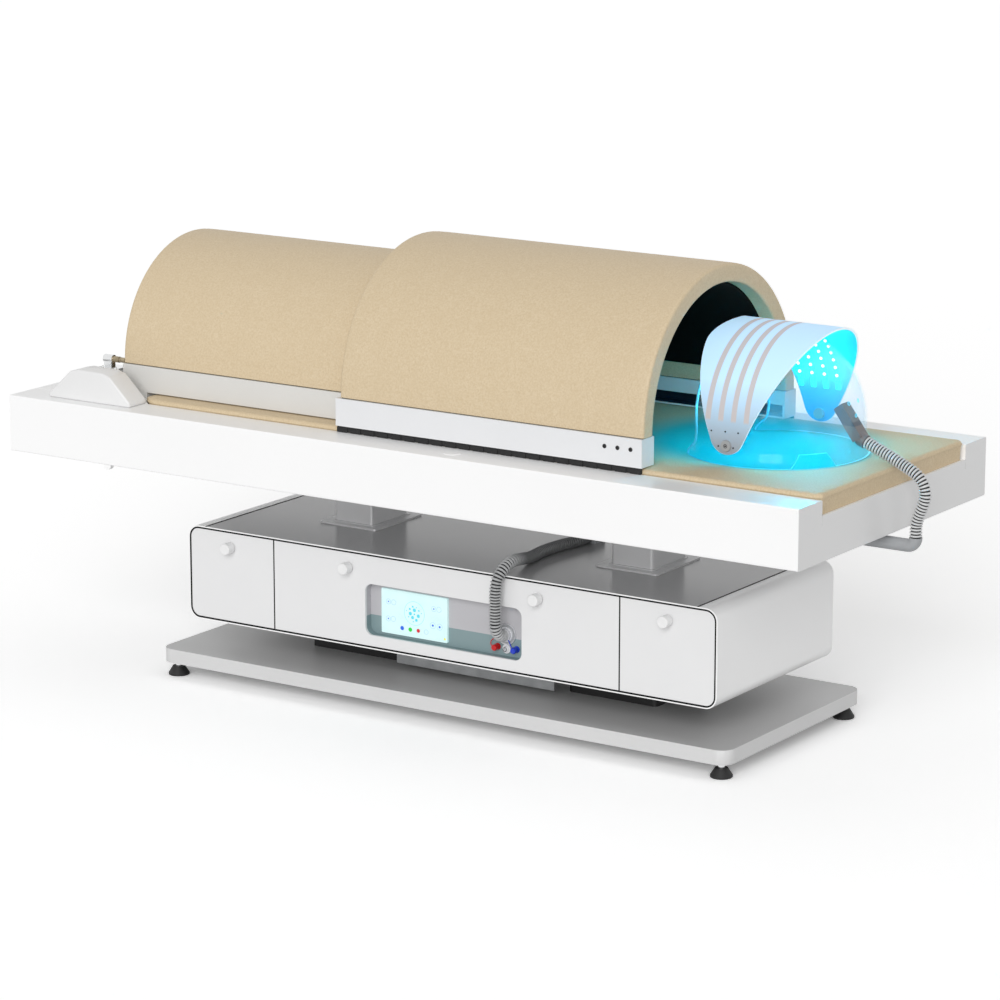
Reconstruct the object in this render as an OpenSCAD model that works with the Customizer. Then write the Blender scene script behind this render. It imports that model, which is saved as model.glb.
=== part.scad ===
// Spa bed: a motor-lifted treatment bed with a sliding half-tunnel canopy,
// a fixed foot canopy, a clear head hood with a tilting light visor, two
// drawers and a control console. Millimetres, +X to the head end, -Y to the
// operator's side, +Z up, origin on the floor under the middle of the deck.

/* [Deck] */
// Length of the deck
deck_len = 2200; // [2180:5:2400]
// Width of the deck
deck_wid = 882; // [876:2:960]
// Height of the deck's top face above the floor, with the lift at rest
deck_top = 700; // [690:2:720]
// Height of the deck's side walls
deck_high = 138; // [130:2:146]
// Thickness of the deck's walls and boards
deck_wall = 16; // [10:1:18]
// Width of each rail beside the mattress channel
deck_rail = 103; // [100:1:108]
// Depth of the mattress channel
channel_deep = 35; // [30:1:38]
// Length of the plain foot end without a channel
foot_end_len = 320; // [300:5:340]
// Thickness of the channel's floor board
pan_thick = 22; // [18:1:26]
// Rounding of the deck's long edges
deck_edge = 3; // [2:0.5:4]
// Width of the steel cross beams under the deck
beam_wid = 124; // [116:2:140]
// Height of the steel frame under the deck
beam_high = 40; // [30:2:44]
// Width of the long beams under the deck
long_beam_wid = 40; // [30:2:50]

/* [Mattress] */
// How far the mattress stands above the deck's rails
mattress_proud = 14; // [12:0.5:16]
// Gap between the mattress and the channel's walls
mattress_gap = 0.6; // [0.4:0.1:1.5]
// Cut across the two foot corners of the mattress
mattress_chamfer = 28; // [20:2:40]
// Rounding of the mattress's edges
mattress_round = 7; // [4:1:10]
// Crown of the mattress
mattress_crown = 2; // [1:0.5:3]

/* [Base] */
// Length of the base plate
plate_len = 1616; // [1580:4:1700]
// Width of the base plate
plate_wid = 636; // [600:4:660]
// Thickness of the base plate
plate_thick = 35; // [28:1:40]
// Corner radius of the base plate
plate_round = 34; // [20:2:50]
// Height of the plate's underside above the floor
plate_clear = 35.6; // [34:0.2:40]
// Place of the base's middle along the bed
base_x = 20; // [0:2:40]
// Place of the base's middle across the bed
base_y = 54; // [40:2:60]
// Distance of each levelling foot from the plate's edges
foot_inset = 32; // [28:1:45]
// Diameter of a foot pad at the floor
pad_dia = 52; // [44:1:56]
// Height of a foot pad
pad_high = 22; // [18:1:26]
// Diameter of a foot's stem
stem_dia = 16; // [14:1:18]
// Diameter of the stem's thread in the plate
thread_dia = 12; // [10:1:13]

/* [Cabinet] */
// Length of the cabinet
cab_len = 1502; // [1490:2:1540]
// Depth of the cabinet
cab_deep = 538; // [526:2:560]
// Height of the cabinet
cab_high = 235; // [232:1:240]
// Gap between the base plate and the cabinet
cab_gap = 75.4; // [72:0.2:78]
// Outside corner radius of the cabinet's wrap
cab_round = 30; // [22:1:34]
// Sheet thickness of the wrap
cab_sheet = 4; // [3:0.5:5]
// Shadow gap round the fronts
front_gap = 3; // [2:0.5:4]
// Gap between two neighbouring fronts
seam_gap = 2; // [1.5:0.5:3]
// Length of each white end cap along the top
cap_len = 52; // [44:1:60]
// Length of each drawer bay, from the cabinet's end to the seam
drawer_span = 259; // [240:1:264]
// Thickness of a drawer's front
front_thick = 16; // [12:1:18]
// Thickness of the centre cover
cover_thick = 6; // [5:0.5:7]
// Thickness of a bulkhead
bulk_thick = 16; // [12:1:18]

/* [Drawers and knobs] */
// Depth of a drawer's box that stays inside when the drawer is pulled out
drawer_keep = 90; // [70:5:100]
// Height of a drawer's box
drawer_high = 150; // [120:5:165]
// Wall of a drawer's box
drawer_wall = 8; // [4:1:10]
// How far a drawer pulls out
drawer_travel = 350; // [250:10:380]
// Width of a drawer's slide
slide_wid = 12; // [10:0.5:14]
// Height of a drawer's slide
slide_high = 45; // [35:1:50]
// Diameter of a knob
knob_dia = 28; // [24:1:32]
// Length of a knob
knob_len = 28; // [22:1:34]
// Distance of the knobs below the top edge of the cabinet
knob_drop = 42; // [36:1:46]
// Distance between the two lock knobs
lock_pitch = 540; // [500:5:560]
// Diameter of a lock's shaft
lock_shaft = 8; // [6:0.5:10]
// Length of a lock's cam
cam_len = 26; // [24:1:30]

/* [Console] */
// Width of the window in the centre cover
window_wid = 446; // [420:2:460]
// Height of the window
window_high = 126; // [120:1:134]
// Middle of the window along the bed
window_x = 21.5; // [10:0.5:30]
// Height of the window's lower edge above the cabinet's underside
window_up = 34; // [30:1:38]
// Corner radius of the window
window_round = 20; // [12:1:26]
// Depth of the console's face behind the cover
console_deep = 18; // [14:1:22]
// Sheet thickness of the console's tray
tray_sheet = 3; // [2:0.5:4]
// Width of the touch screen
screen_wid = 190; // [170:2:196]
// Height of the touch screen
screen_high = 109; // [95:1:112]
// Distance of the screen's middle from the window's middle
screen_shift = 93; // [90:1:100]
// Width of the electronics box
unit_wid = 520; // [400:10:560]
// Height of the electronics box
unit_high = 170; // [120:5:190]
// Depth of the electronics box
unit_deep = 130; // [90:5:200]
// Diameter of the hose socket
socket_dia = 36; // [34:1:40]
// Bend radius of the hose's cuff
cuff_bend = 36; // [34:1:38]

/* [Lifting columns] */
// Width of the inner column along the bed
col_x = 114; // [104:1:116]
// Width of the inner column across the bed
col_y = 150; // [140:1:156]
// Wall of each column section
col_wall = 5; // [4:0.5:5.5]
// Running gap between two sections
col_gap = 0.5; // [0.4:0.1:0.7]
// Distance between the two columns
col_pitch = 800; // [770:2:806]
// Place of the columns' middle along the bed
col_mid = 11; // [4:1:20]
// Place of the columns across the bed
col_mid_y = 76; // [70:1:84]
// Stroke of the lift below the rest height
lift_down = 120; // [60:5:130]
// Length of a collar plate along the bed
collar_x = 170; // [150:1:180]
// Length of a collar plate across the bed
collar_y = 203; // [190:1:210]

/* [Canopies] */
// How far the sliding canopy stands outside the mattress channel
rail_out = 8; // [7.5:0.5:10]
// Width of a canopy rail
rail_wid = 52; // [46:1:54]
// Height of a canopy rail
rail_high = 65; // [60:1:70]
// Length of the sliding canopy
big_len = 835; // [800:5:840]
// Distance between the foot ends of the two canopies, open
canopy_step = 678; // [674:1:682]
// How far the sliding canopy's cover starts behind its rails' foot end
cover_inset = 9; // [8:1:20]
// How far the cover's skin lies inside the rail's face
cover_step = 5; // [3:0.5:6]
// Padded thickness of a canopy's cover
pad_thick = 43; // [38:1:44]
// Rounding of a canopy cover's edges
pad_round = 5; // [3:0.5:8]
// Thickness of the sliding canopy's black lining
liner_thick = 4.5; // [3:0.5:5]
// Margin between the lining and the cover's edges
liner_margin = 40; // [30:2:60]
// Gap between the rails of the two canopies
nest_gap = 2; // [1.5:0.1:2.5]
// Length of the fixed canopy
small_len = 760; // [740:5:780]
// Distance of the fixed canopy from the deck's foot end
small_inset = 235; // [230:1:250]
// Travel of the sliding canopy towards the foot end
big_travel = 560; // [400:10:560]
// Width of a glide strip
glide_wid = 7; // [5:0.5:7]
// Spacing of the pads on a glide strip
glide_pitch = 38; // [30:1:45]
// Diameter of a rail screw
screw_dia = 10; // [8:0.5:12]
// Spacing of the rail screws
screw_pitch = 34; // [28:1:38]

/* [Head hood] */
// Outside radius of the hood
hood_r = 202; // [198:1:204]
// Wall of the hood
hood_wall = 4; // [3:0.5:5]
// Height of the straight part of the hood
hood_straight = 76; // [70:1:80]
// Outside radius of the flared rim
hood_rim_r = 211; // [207:1:214]
// Distance of the hood's middle from the deck's head end
hood_inset = 305; // [300:1:310]
// Radius of the neck opening
neck_r = 163; // [150:1:166]
// Height of the neck opening's middle above the mattress
neck_up = 64; // [58:1:70]
// Width of the notch in the rim
notch_wid = 110; // [90:2:120]
// Height of the notch in the rim
notch_high = 30; // [20:1:36]

/* [Visor] */
// Gap between the hood and the visor
visor_gap = 9; // [8:0.5:12]
// Thickness of the visor
visor_wall = 5; // [4:0.5:6]
// How far the visor's pivots sit behind the hood's middle
pivot_back = 7; // [3:1:10]
// Height of the visor's pivots above the mattress
pivot_up = 46; // [42:1:50]
// Height of the visor arch's axis above the pivots
arch_up = 31; // [28:1:33]
// Radius of the visor's lower tips
tip_r = 42; // [36:1:46]
// Height of a tip's middle above the pivots
tip_up = 22; // [18:1:24]
// Radius of the visor's front corner in side view
front_r = 28; // [24:1:32]
// Reach of the front corner's middle from the pivots
front_reach = 145; // [140:1:150]
// Height of the front corner's middle above the pivots
front_up = 280; // [274:1:286]
// Radius of the visor's back corner in side view
back_r = 30; // [26:1:34]
// Reach of the back corner's middle from the pivots
back_reach = 83; // [79:1:87]
// Height of the back corner's middle above the pivots
back_up = 221; // [218:1:226]
// Diameter of the pivot pins
pivot_pin = 8; // [6:0.5:10]
// Diameter of the pivot caps
pivot_cap = 27; // [22:1:32]
// Width of a light strip
strip_wid = 11; // [8:0.5:14]
// Spacing of the light strips
strip_pitch = 32.5; // [30:0.5:36]

/* [Hoses] */
// Outside diameter of both ribbed hoses
hose_dia = 26; // [22:1:28]
// Depth of a rib
rib_deep = 2.2; // [1:0.2:3]
// Spacing of the ribs
rib_pitch = 8.6; // [8:0.2:12]
// Wall under the ribs
hose_wall = 1.4; // [1:0.1:2]
// Width of the air nozzle
nozzle_wid = 34; // [30:1:38]
// Height of the air nozzle
nozzle_high = 25; // [22:1:28]
// Distance of the pipe's flange from the deck's head end
pipe_inset = 200; // [180:5:260]
// Outside diameter of the pipe under the deck
pipe_dia = 30; // [28:1:34]

/* [Foot housings] */
// Length of a foot-end housing
house_len = 250; // [230:5:256]
// Width of a foot-end housing
house_wid = 66; // [54:1:68]
// Height of a foot-end housing
house_high = 77; // [66:1:84]
// Height of the canopy clamps' axis above the deck
clamp_up = 84; // [80:1:90]
// Distance of the clamp's outer end from the fixed canopy
clamp_reach = 65; // [62:1:70]
// Length of the threaded pin with its nut
pin_reach = 38; // [37:1:42]

/* [Hidden] */
$fn = 96;

// clearances shared by neighbouring pieces, and the overshoot of a cut
air = 0.3;
pin_play = 0.06;
run_gap = 0.5;
stop_gap = 9;
cut = 1;

// levels and places worked out from the sizes above
deck_low = deck_top - deck_high;
board_z = deck_top - deck_wall;
channel_z = deck_top - channel_deep;
pan_z = channel_z - pan_thick;
beam_z = pan_z - beam_high;
bed_z = deck_top + mattress_proud;
channel_half = deck_wid / 2 - deck_rail;
channel_x = -deck_len / 2 + foot_end_len;
skirt_y = deck_wid / 2 - deck_wall;
plate_top = plate_clear + plate_thick;
cab_z0 = plate_top + cab_gap;
cab_z1 = cab_z0 + cab_high;
half_cab = cab_len / 2;
cab_y0 = base_y - cab_deep / 2;
cab_y1 = cab_y0 + cab_deep;
front_y = cab_y0 + 1;
cover_y = front_y + cover_thick;
console_y = cover_y + console_deep;
seam_x = half_cab - drawer_span;
back_y = cab_y1 - 2 * cab_sheet;
drawer_deep = drawer_travel + drawer_keep;
slide_y0 = front_y + front_thick + seam_gap;
box_z0 = cab_z0 + cab_sheet + 8;
slide_z = box_z0 + drawer_high / 2;
knob_z = cab_z1 - knob_drop;
window_z0 = cab_z0 + window_up;
rail_z0 = bed_z + 2 * air;
rail_z1 = rail_z0 + rail_high;
arch_z = rail_z1 + 3;
big_half = channel_half + rail_out;
cover_out = big_half - cover_step;
small_half = big_half - rail_wid - nest_gap;
small_foot_x = small_inset - deck_len / 2;
big_foot_x = small_foot_x + canopy_step;
big_head_x = big_foot_x + big_len;
screw_x = big_head_x - 97;
hood_x = deck_len / 2 - hood_inset;
visor_r = hood_r + visor_gap + visor_wall;
pivot_x = hood_x - pivot_back;
pivot_z = bed_z + pivot_up;
pin_end = hood_r + 5;
hood_low = bed_z + air;
hood_z = bed_z + hood_straight;
clamp_y = small_half - 14;

// flare of the hood's rim, from its foot up
rim_band = 12;
rim_rise = 20;

// routes of the two hoses, each straight where it starts and ends
service_route = [
    [188, -240, 269], [188, -240, 296], [188, -240, 324], [189, -240, 350], [191, -236, 373],
    [195, -224, 391], [198, -206, 403], [199, -184, 408], [197, -160, 407], [193, -132, 403],
    [188, -103, 398], [182, -74, 395], [177, -44, 394.5], [174, -12, 394.5], [174, 20, 394.5],
    [177, 52, 394.5], [182, 82, 394.5], [187, 108, 394.5], [189, 130, 394.5], [189, 160, 394.5]
];
// the head hose's route is measured from the deck's head end and top face
head_points = [
    [-78, 58], [-52, 47], [-28, 37], [-3, 26], [20, 15], [42, 4], [57, -7], [68, -22],
    [73, -40], [71, -59], [64, -79], [57, -97], [53, -112], [52, -125], [52, -144]
];
head_route = [for (p = head_points) [deck_len / 2 + p[0], 0, deck_top + p[1]]];
head_lean = 23;
nozzle_lean = 54;
nozzle_tip = [hood_x + 162, 0, hood_z + 44];

// Rectangle with round corners, from its low corner.
module round_rect(size, r) {
    translate([r, 0]) square([size[0] - 2 * r, size[1]]);
    translate([0, r]) square([size[0], size[1] - 2 * r]);
    for (x = [r, size[0] - r], y = [r, size[1] - r]) translate([x, y]) circle(r);
}

// Box from its low corner to its high corner.
module block(low, high) {
    translate(low) cube(high - low);
}

// Outline in X and Z, extruded along Y.
module along_y(y0, y1) {
    translate([0, y1, 0]) rotate([90, 0, 0]) linear_extrude(y1 - y0) children();
}

// Outline in Y and Z, extruded along X.
module along_x(x0, x1) {
    translate([x0, 0, 0]) rotate([90, 0, 90]) linear_extrude(x1 - x0) children();
}

// The same piece on both sides of the bed.
module both_sides() {
    children();
    mirror([0, 1, 0]) children();
}

// The same piece at one end of the cabinet: 1 is the head end, -1 the foot end.
module cabinet_end(end) {
    translate([base_x, 0, 0])
    if (end > 0) children();
    else mirror([1, 0, 0]) children();
}

// Solid through a list of rings with the same number of points. A closed one
// joins its last ring to its first, and an open one gets a cap at each end.
module skin(rings, closed = false) {
    n = len(rings[0]);
    m = len(rings);
    walls = [
        for (i = [0 : closed ? m - 1 : m - 2], j = [0 : n - 1])
        let (a = i * n + j, b = (i + 1) % m * n + j)
        let (c = (i + 1) % m * n + (j + 1) % n, d = i * n + (j + 1) % n)
        each [[a, b, c], [a, c, d]]
    ];
    caps = closed ? [] : [[for (j = [0 : n - 1]) j], [for (j = [n - 1 : -1 : 0]) (m - 1) * n + j]];
    polyhedron([for (ring = rings) each ring], concat(walls, caps));
}

// BASE

// Places of the four levelling feet.
foot_places = [
    for (x = [-1, 1], y = [-1, 1])
    [base_x + x * (plate_len / 2 - foot_inset), base_y + y * (plate_wid / 2 - foot_inset)]
];
thread_deep = plate_thick - 10;
stem_seat = 8;

module base_plate() {
    color("gainsboro")
    difference() {
        translate([base_x - plate_len / 2, base_y - plate_wid / 2, plate_clear])
            linear_extrude(plate_thick) round_rect([plate_len, plate_wid], plate_round);
        for (p = foot_places) translate([p[0], p[1], plate_clear - cut])
            cylinder(d = thread_dia + 2 * pin_play, h = thread_deep + cut);
    }
}

// Chrome stems: a thread in the plate, a shoulder under it and an end in the pad.
module foot_stems() {
    color("silver")
    for (p = foot_places) translate([p[0], p[1], 0]) {
        translate([0, 0, stem_seat + air]) cylinder(d = stem_dia, h = plate_clear - stem_seat - air);
        translate([0, 0, plate_clear - cut]) cylinder(d = thread_dia, h = thread_deep - air + cut);
    }
}

// Rubber pad: a flat foot, a tapered neck and a blind seat for the stem.
module foot_pad(i) {
    neck_dia = stem_dia + 15;
    color("black")
    translate([foot_places[i][0], foot_places[i][1], 0])
    difference() {
        rotate_extrude() polygon([
            [0, 0], [pad_dia / 2 - 1, 0], [pad_dia / 2, 1], [pad_dia / 2, 5],
            [neck_dia / 2 + 1, pad_high - 2], [neck_dia / 2, pad_high], [0, pad_high]
        ]);
        translate([0, 0, stem_seat]) cylinder(d = stem_dia + 2 * pin_play, h = pad_high);
    }
}

// LIFTING COLUMNS

column_places = [[col_mid - col_pitch / 2, col_mid_y], [col_mid + col_pitch / 2, col_mid_y]];
// each stage counts outwards from the inner column
function stage(n) = [col_x + 2 * n * (col_wall + col_gap), col_y + 2 * n * (col_wall + col_gap)];
stage_round = 8;
// reach of each column's foot from the column's middle: motor side, outer side, front and back
motor_reach = [200, 148];
foot_reach = 97;
foot_half = 118;
foot_wall = 6;
mid_low = plate_top + lift_down / 2 + 4;
inner_low = plate_top + lift_down + 9;

// Upright bar with the outline of one column, from z0 to z1.
module column_bar(size, r, z0, z1) {
    translate([-size[0] / 2, -size[1] / 2, z0]) linear_extrude(z1 - z0) round_rect(size, r);
}

// Upright tube of one column stage, at both columns.
module column_tube(n, z0, z1) {
    inside = [stage(n)[0] - 2 * col_wall, stage(n)[1] - 2 * col_wall];
    for (p = column_places) translate([p[0], p[1], 0])
    difference() {
        column_bar(stage(n), stage_round, z0, z1);
        column_bar(inside, stage_round - 4, z0 - cut, z1 + cut);
    }
}

// Holes for the outer columns.
module column_holes(z0, z1) {
    hole = [stage(2)[0] + 2 * air, stage(2)[1] + 2 * air];
    for (p = column_places) translate([p[0], p[1], 0]) column_bar(hole, stage_round, z0, z1);
}

module outer_columns() {
    color("silver") column_tube(2, plate_top, cab_z1);
}

module middle_columns() {
    color("silver") column_tube(1, mid_low, cab_z1 + 6);
}

module inner_columns() {
    color("lightgray") column_tube(0, inner_low, beam_z);
}

// Outline of one column's foot: wide towards the motor, short outwards.
module foot_outline(i, inset) {
    reach = motor_reach[i] + foot_reach - 2 * inset;
    x0 = column_places[i][0] - (i == 0 ? foot_reach : motor_reach[i]) + inset;
    translate([x0, col_mid_y - foot_half + inset])
        round_rect([reach, 2 * (foot_half - inset)], 12 - inset);
}

// Black housings round the columns' feet and the lift motors.
module column_feet() {
    color("dimgray")
    difference() {
        for (i = [0, 1]) translate([0, 0, plate_top]) linear_extrude(cab_gap) foot_outline(i, 0);
        for (i = [0, 1]) translate([0, 0, plate_top - cut])
            linear_extrude(cab_gap - foot_wall + cut) foot_outline(i, foot_wall);
        column_holes(cab_z0 - 2 * foot_wall, cab_z0 + cut);
    }
}

// Folded channel between the two column feet, open below.
module tie_beam() {
    x0 = column_places[0][0] + motor_reach[0];
    x1 = column_places[1][0] - motor_reach[1];
    front = col_mid_y - foot_half - 60;
    back = col_mid_y;
    sheet = 4;
    color("darkgray")
    difference() {
        block([x0, front, plate_top + 15], [x1, back, cab_z0]);
        block([x0 - cut, front + sheet, plate_top], [x1 + cut, back - sheet, cab_z0 - sheet]);
    }
}

// Plates that close the cabinet's top round the middle columns.
module collar_plates() {
    hole = [stage(1)[0] + 2 * col_gap, stage(1)[1] + 2 * col_gap];
    color("silver")
    for (p = column_places) translate([p[0], p[1], 0])
    difference() {
        column_bar([collar_x, collar_y], 10, cab_z1, cab_z1 + 4);
        column_bar(hole, stage_round, cab_z1 - cut, cab_z1 + 4 + cut);
    }
}

// CABINET

// Outline of the cabinet in X and Z, drawn in all round.
module cabinet_outline(inset) {
    translate([-half_cab + inset, cab_z0 + inset])
        round_rect([cab_len - 2 * inset, cab_high - 2 * inset], cab_round - inset);
}

// Strip of the cabinet's outline between two places along it.
module outline_part(inset, x0, x1) {
    intersection() {
        cabinet_outline(inset);
        translate([x0, cab_z0]) square([x1 - x0, cab_high]);
    }
}

// White sheet folded round each end of the cabinet.
module cabinet_end_caps() {
    color("white")
    for (end = [-1, 1]) cabinet_end(end) along_y(cab_y0, cab_y1)
    difference() {
        outline_part(0, half_cab - cap_len, half_cab);
        cabinet_outline(cab_sheet);
    }
}

// Flat panel between the end caps.
module cabinet_sheet(z) {
    difference() {
        block(
            [base_x - half_cab + cap_len, cab_y0, z],
            [base_x + half_cab - cap_len, cab_y1, z + cab_sheet]
        );
        column_holes(z - cut, z + cab_sheet + cut);
    }
}

module cabinet_top() {
    color("gray") cabinet_sheet(cab_z1 - cab_sheet);
}

module cabinet_bottom() {
    color("gray") cabinet_sheet(cab_z0);
}

module cabinet_back() {
    color("lightgray") translate([base_x, 0, 0]) along_y(back_y, back_y + cab_sheet)
        cabinet_outline(cab_sheet + air);
}

// Bulkheads at the seams, and the lips that the locks' cams reach behind.
module inner_frame() {
    lip = 3;
    lip_wid = 44;
    under_top = cab_z1 - cab_sheet;
    color("darkgray") {
        for (end = [-1, 1]) cabinet_end(end)
            block([seam_x - bulk_thick / 2, slide_y0, cab_z0 + cab_sheet],
                [seam_x + bulk_thick / 2, back_y, under_top]);
        for (x = [-1, 1]) translate([window_x + x * lock_pitch / 2 - lip_wid / 2, cover_y + air, 0]) {
            block([0, 0, knob_z + lock_shaft + 4], [lip_wid, lip, under_top]);
            block([0, 0, under_top - lip], [lip_wid, lip * 5, under_top]);
        }
    }
}

// Places of a drawer bay's walls, from the cabinet's middle.
bay_x0 = seam_x + bulk_thick / 2;
bay_x1 = half_cab - cab_sheet;
slide_sheet = 2;

// Folded channels on both walls of each bay, open towards the drawer.
module drawer_slides() {
    color("silver")
    for (end = [-1, 1]) cabinet_end(end) for (wall = [0, 1])
    translate([wall * (bay_x0 + bay_x1), 0, 0]) mirror([wall, 0, 0])
    difference() {
        block([bay_x0, slide_y0, slide_z - slide_high / 2],
            [bay_x0 + slide_wid, slide_y0 + drawer_deep, slide_z + slide_high / 2]);
        block([bay_x0 + slide_sheet, slide_y0 - cut, slide_z - slide_high / 2 + slide_sheet],
            [bay_x0 + slide_wid + cut, slide_y0 + drawer_deep + cut,
            slide_z + slide_high / 2 - slide_sheet]);
    }
}

// Front that fills one end of the cabinet's face.
module drawer_front(end) {
    color("whitesmoke") cabinet_end(end) along_y(front_y, front_y + front_thick)
        outline_part(cab_sheet + front_gap, seam_x + seam_gap / 2, half_cab);
}

// Open box with a runner on each side that lies in the slide's channel.
module drawer_box(end) {
    x0 = bay_x0 + slide_wid + run_gap;
    x1 = bay_x1 - slide_wid - run_gap;
    y0 = front_y + front_thick;
    runner = slide_high / 2 - slide_sheet - run_gap;
    runner_deep = slide_wid - slide_sheet - run_gap;
    color("gainsboro") cabinet_end(end) {
        difference() {
            block([x0, y0, box_z0], [x1, y0 + drawer_deep, box_z0 + drawer_high]);
            block([x0 + drawer_wall, y0 + drawer_wall, box_z0 + drawer_wall],
                [x1 - drawer_wall, y0 + drawer_deep - drawer_wall, box_z0 + drawer_high + cut]);
        }
        block([x0 - runner_deep, y0 + seam_gap, slide_z - runner],
            [x0 + cut, y0 + drawer_deep - drawer_wall, slide_z + runner]);
        block([x1 - cut, y0 + seam_gap, slide_z - runner],
            [x1 + runner_deep, y0 + drawer_deep - drawer_wall, slide_z + runner]);
    }
}

// Turned knob along -Y: a neck and a chamfered head.
module knob_head() {
    neck = 4;
    edge = 1.5;
    r = knob_dia / 2;
    rotate([90, 0, 0]) rotate_extrude() polygon([
        [0, 0], [r - 4, 0], [r - 4, neck], [r - edge, neck], [r, neck + edge],
        [r, knob_len - edge], [r - edge, knob_len], [0, knob_len]
    ]);
}

module drawer_knob(end) {
    color("white") cabinet_end(end) translate([half_cab - drawer_span / 2, front_y, knob_z])
        knob_head();
}

// CENTRE COVER AND CONSOLE

// Outline of the window, grown all round.
module window_outline(grow) {
    translate([window_x - window_wid / 2 - grow, window_z0 - grow])
        round_rect([window_wid + 2 * grow, window_high + 2 * grow], window_round + grow);
}

// Lift-off cover between the drawers, held by two quarter-turn locks.
module centre_cover() {
    color("whitesmoke")
    difference() {
        translate([base_x, 0, 0]) along_y(front_y, cover_y)
            outline_part(cab_sheet + front_gap, -seam_x + seam_gap / 2, seam_x - seam_gap / 2);
        along_y(front_y - cut, cover_y + cut) window_outline(0);
        for (x = [-1, 1]) translate([window_x + x * lock_pitch / 2, cover_y + cut, knob_z])
            rotate([90, 0, 0]) cylinder(d = lock_shaft + 2 * pin_play, h = cover_thick + 2 * cut);
    }
}

// Lock: a knob, a shaft through the cover, and a cam behind the fixed lip.
module lock_knob(side) {
    cam_y = cover_y + 3 + 2 * air;
    cam_thick = 4;
    cam_wid = lock_shaft + 4;
    color("white")
    translate([window_x + side * lock_pitch / 2, 0, knob_z]) {
        translate([0, front_y - air, 0]) knob_head();
        translate([0, cam_y + cam_thick, 0]) rotate([90, 0, 0])
            cylinder(d = lock_shaft, h = cam_y + cam_thick - front_y + 2 * air);
        along_y(cam_y, cam_y + cam_thick) {
            circle(d = cam_wid);
            translate([-cam_wid / 2, 0]) square([cam_wid, cam_len]);
        }
    }
}

// Pan behind the window, with a rim against the cover.
module console_tray() {
    color("slategray")
    difference() {
        along_y(cover_y, console_y + tray_sheet) window_outline(tray_sheet);
        along_y(cover_y - cut, console_y) window_outline(0);
    }
}

screen_x = window_x - screen_shift;
socket_x = 188;
socket_z = window_z0 + 53;
plug_z = window_z0 + 19;
red_shift = 25;
blue_shift = 28;
socket_len = 14;

module touch_screen() {
    screen_thick = 6;
    z0 = window_z0 + 7;
    color("lightcyan")
    along_y(console_y - screen_thick, console_y)
        translate([screen_x - screen_wid / 2, z0]) round_rect([screen_wid, screen_high], 3);
}

// Electronics box that stands on the cabinet's floor behind the console.
module control_unit() {
    color("dimgray")
    translate([window_x - unit_wid / 2, console_y + tray_sheet + air, cab_z0 + cab_sheet])
    rotate([90, 0, 0]) mirror([0, 0, 1]) linear_extrude(unit_deep) round_rect([unit_wid, unit_high], 6);
}

// Round piece along -Y, from the console's face.
module on_console(x, z) {
    translate([x, console_y, z]) rotate([90, 0, 0]) children();
}

// Hose socket with a stepped ring, and the round data socket under it.
module panel_sockets() {
    color("gainsboro") {
        on_console(socket_x, socket_z) difference() {
            union() {
                cylinder(d = socket_dia, h = 6);
                cylinder(d = socket_dia - 5, h = socket_len);
            }
            translate([0, 0, 4]) cylinder(d = hose_dia - 6, h = socket_len);
        }
        on_console(socket_x + 3, plug_z) difference() {
            cylinder(d = 22, h = 7);
            translate([0, 0, 2]) cylinder(d = 15, h = 7);
        }
    }
}

// Plug with a grip and a collar.
module small_plug(x) {
    on_console(x, plug_z + 1) rotate_extrude() polygon([
        [0, 0], [8, 0], [8, 3], [6, 3], [6, 8], [7.5, 9], [7.5, 17], [6.5, 19], [0, 19]
    ]);
}

module red_plug() {
    color("firebrick") small_plug(socket_x - red_shift);
}

module blue_plug() {
    color("royalblue") small_plug(socket_x + blue_shift);
}

// Quarter bend of a pipe in the X and Y plane, about the origin.
module pipe_bend(d_out, d_in, bend) {
    rotate_extrude(angle = 90) translate([bend, 0])
    difference() {
        circle(d = d_out);
        circle(d = d_in);
    }
}

// Moulded elbow that turns the hose up from the socket.
module hose_cuff() {
    y = console_y - socket_len;
    color("gray")
    translate([socket_x, y, socket_z + cuff_bend]) rotate([90, 0, 90]) rotate([0, 0, 180])
        pipe_bend(hose_dia + 4, hose_dia - 6, cuff_bend);
}

// HOSES

// Smooth point between b and c of four neighbouring points.
function blend_point(a, b, c, d, t) =
    let (square = a - 2.5 * b + 2 * c - d / 2, cube = 1.5 * (b - c) + (d - a) / 2)
    b + t * (c - a) / 2 + t * t * square + t * t * t * cube;
// Smooth line through a route's points, eight steps between two of them.
function smooth(p) = [
    for (i = [0 : len(p) - 2], k = [0 : 7])
    blend_point(
        i == 0 ? 2 * p[0] - p[1] : p[i - 1], p[i], p[i + 1],
        i == len(p) - 2 ? 2 * p[i + 1] - p[i] : p[i + 2], k / 8
    ),
    p[len(p) - 1]
];
// Running length at each point of a line.
function run(p) = [
    for (i = 0, s = 0; i < len(p); i = i + 1, s = s + (i < len(p) ? norm(p[i] - p[i - 1]) : 0)) s
];
function column(s, p, k) = [for (i = [0 : len(p) - 1]) [s[i], p[i][k]]];
function spot(table, s) = [lookup(s, table[0]), lookup(s, table[1]), lookup(s, table[2])];
function unit(v) = v / norm(v);

// Ring of eight points round the line at one place. The side vector keeps
// neighbouring rings from turning.
function ring(table, s, r, side) =
    let (here = spot(table, s), way = unit(spot(table, s + 2) - spot(table, s - 2)))
    let (u = unit(side - (side * way) * way), v = cross(way, u))
    [for (j = [0 : 7]) let (a = j * 45 + 22.5) here + r * cos(a) * u + r * sin(a) * v];

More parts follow.
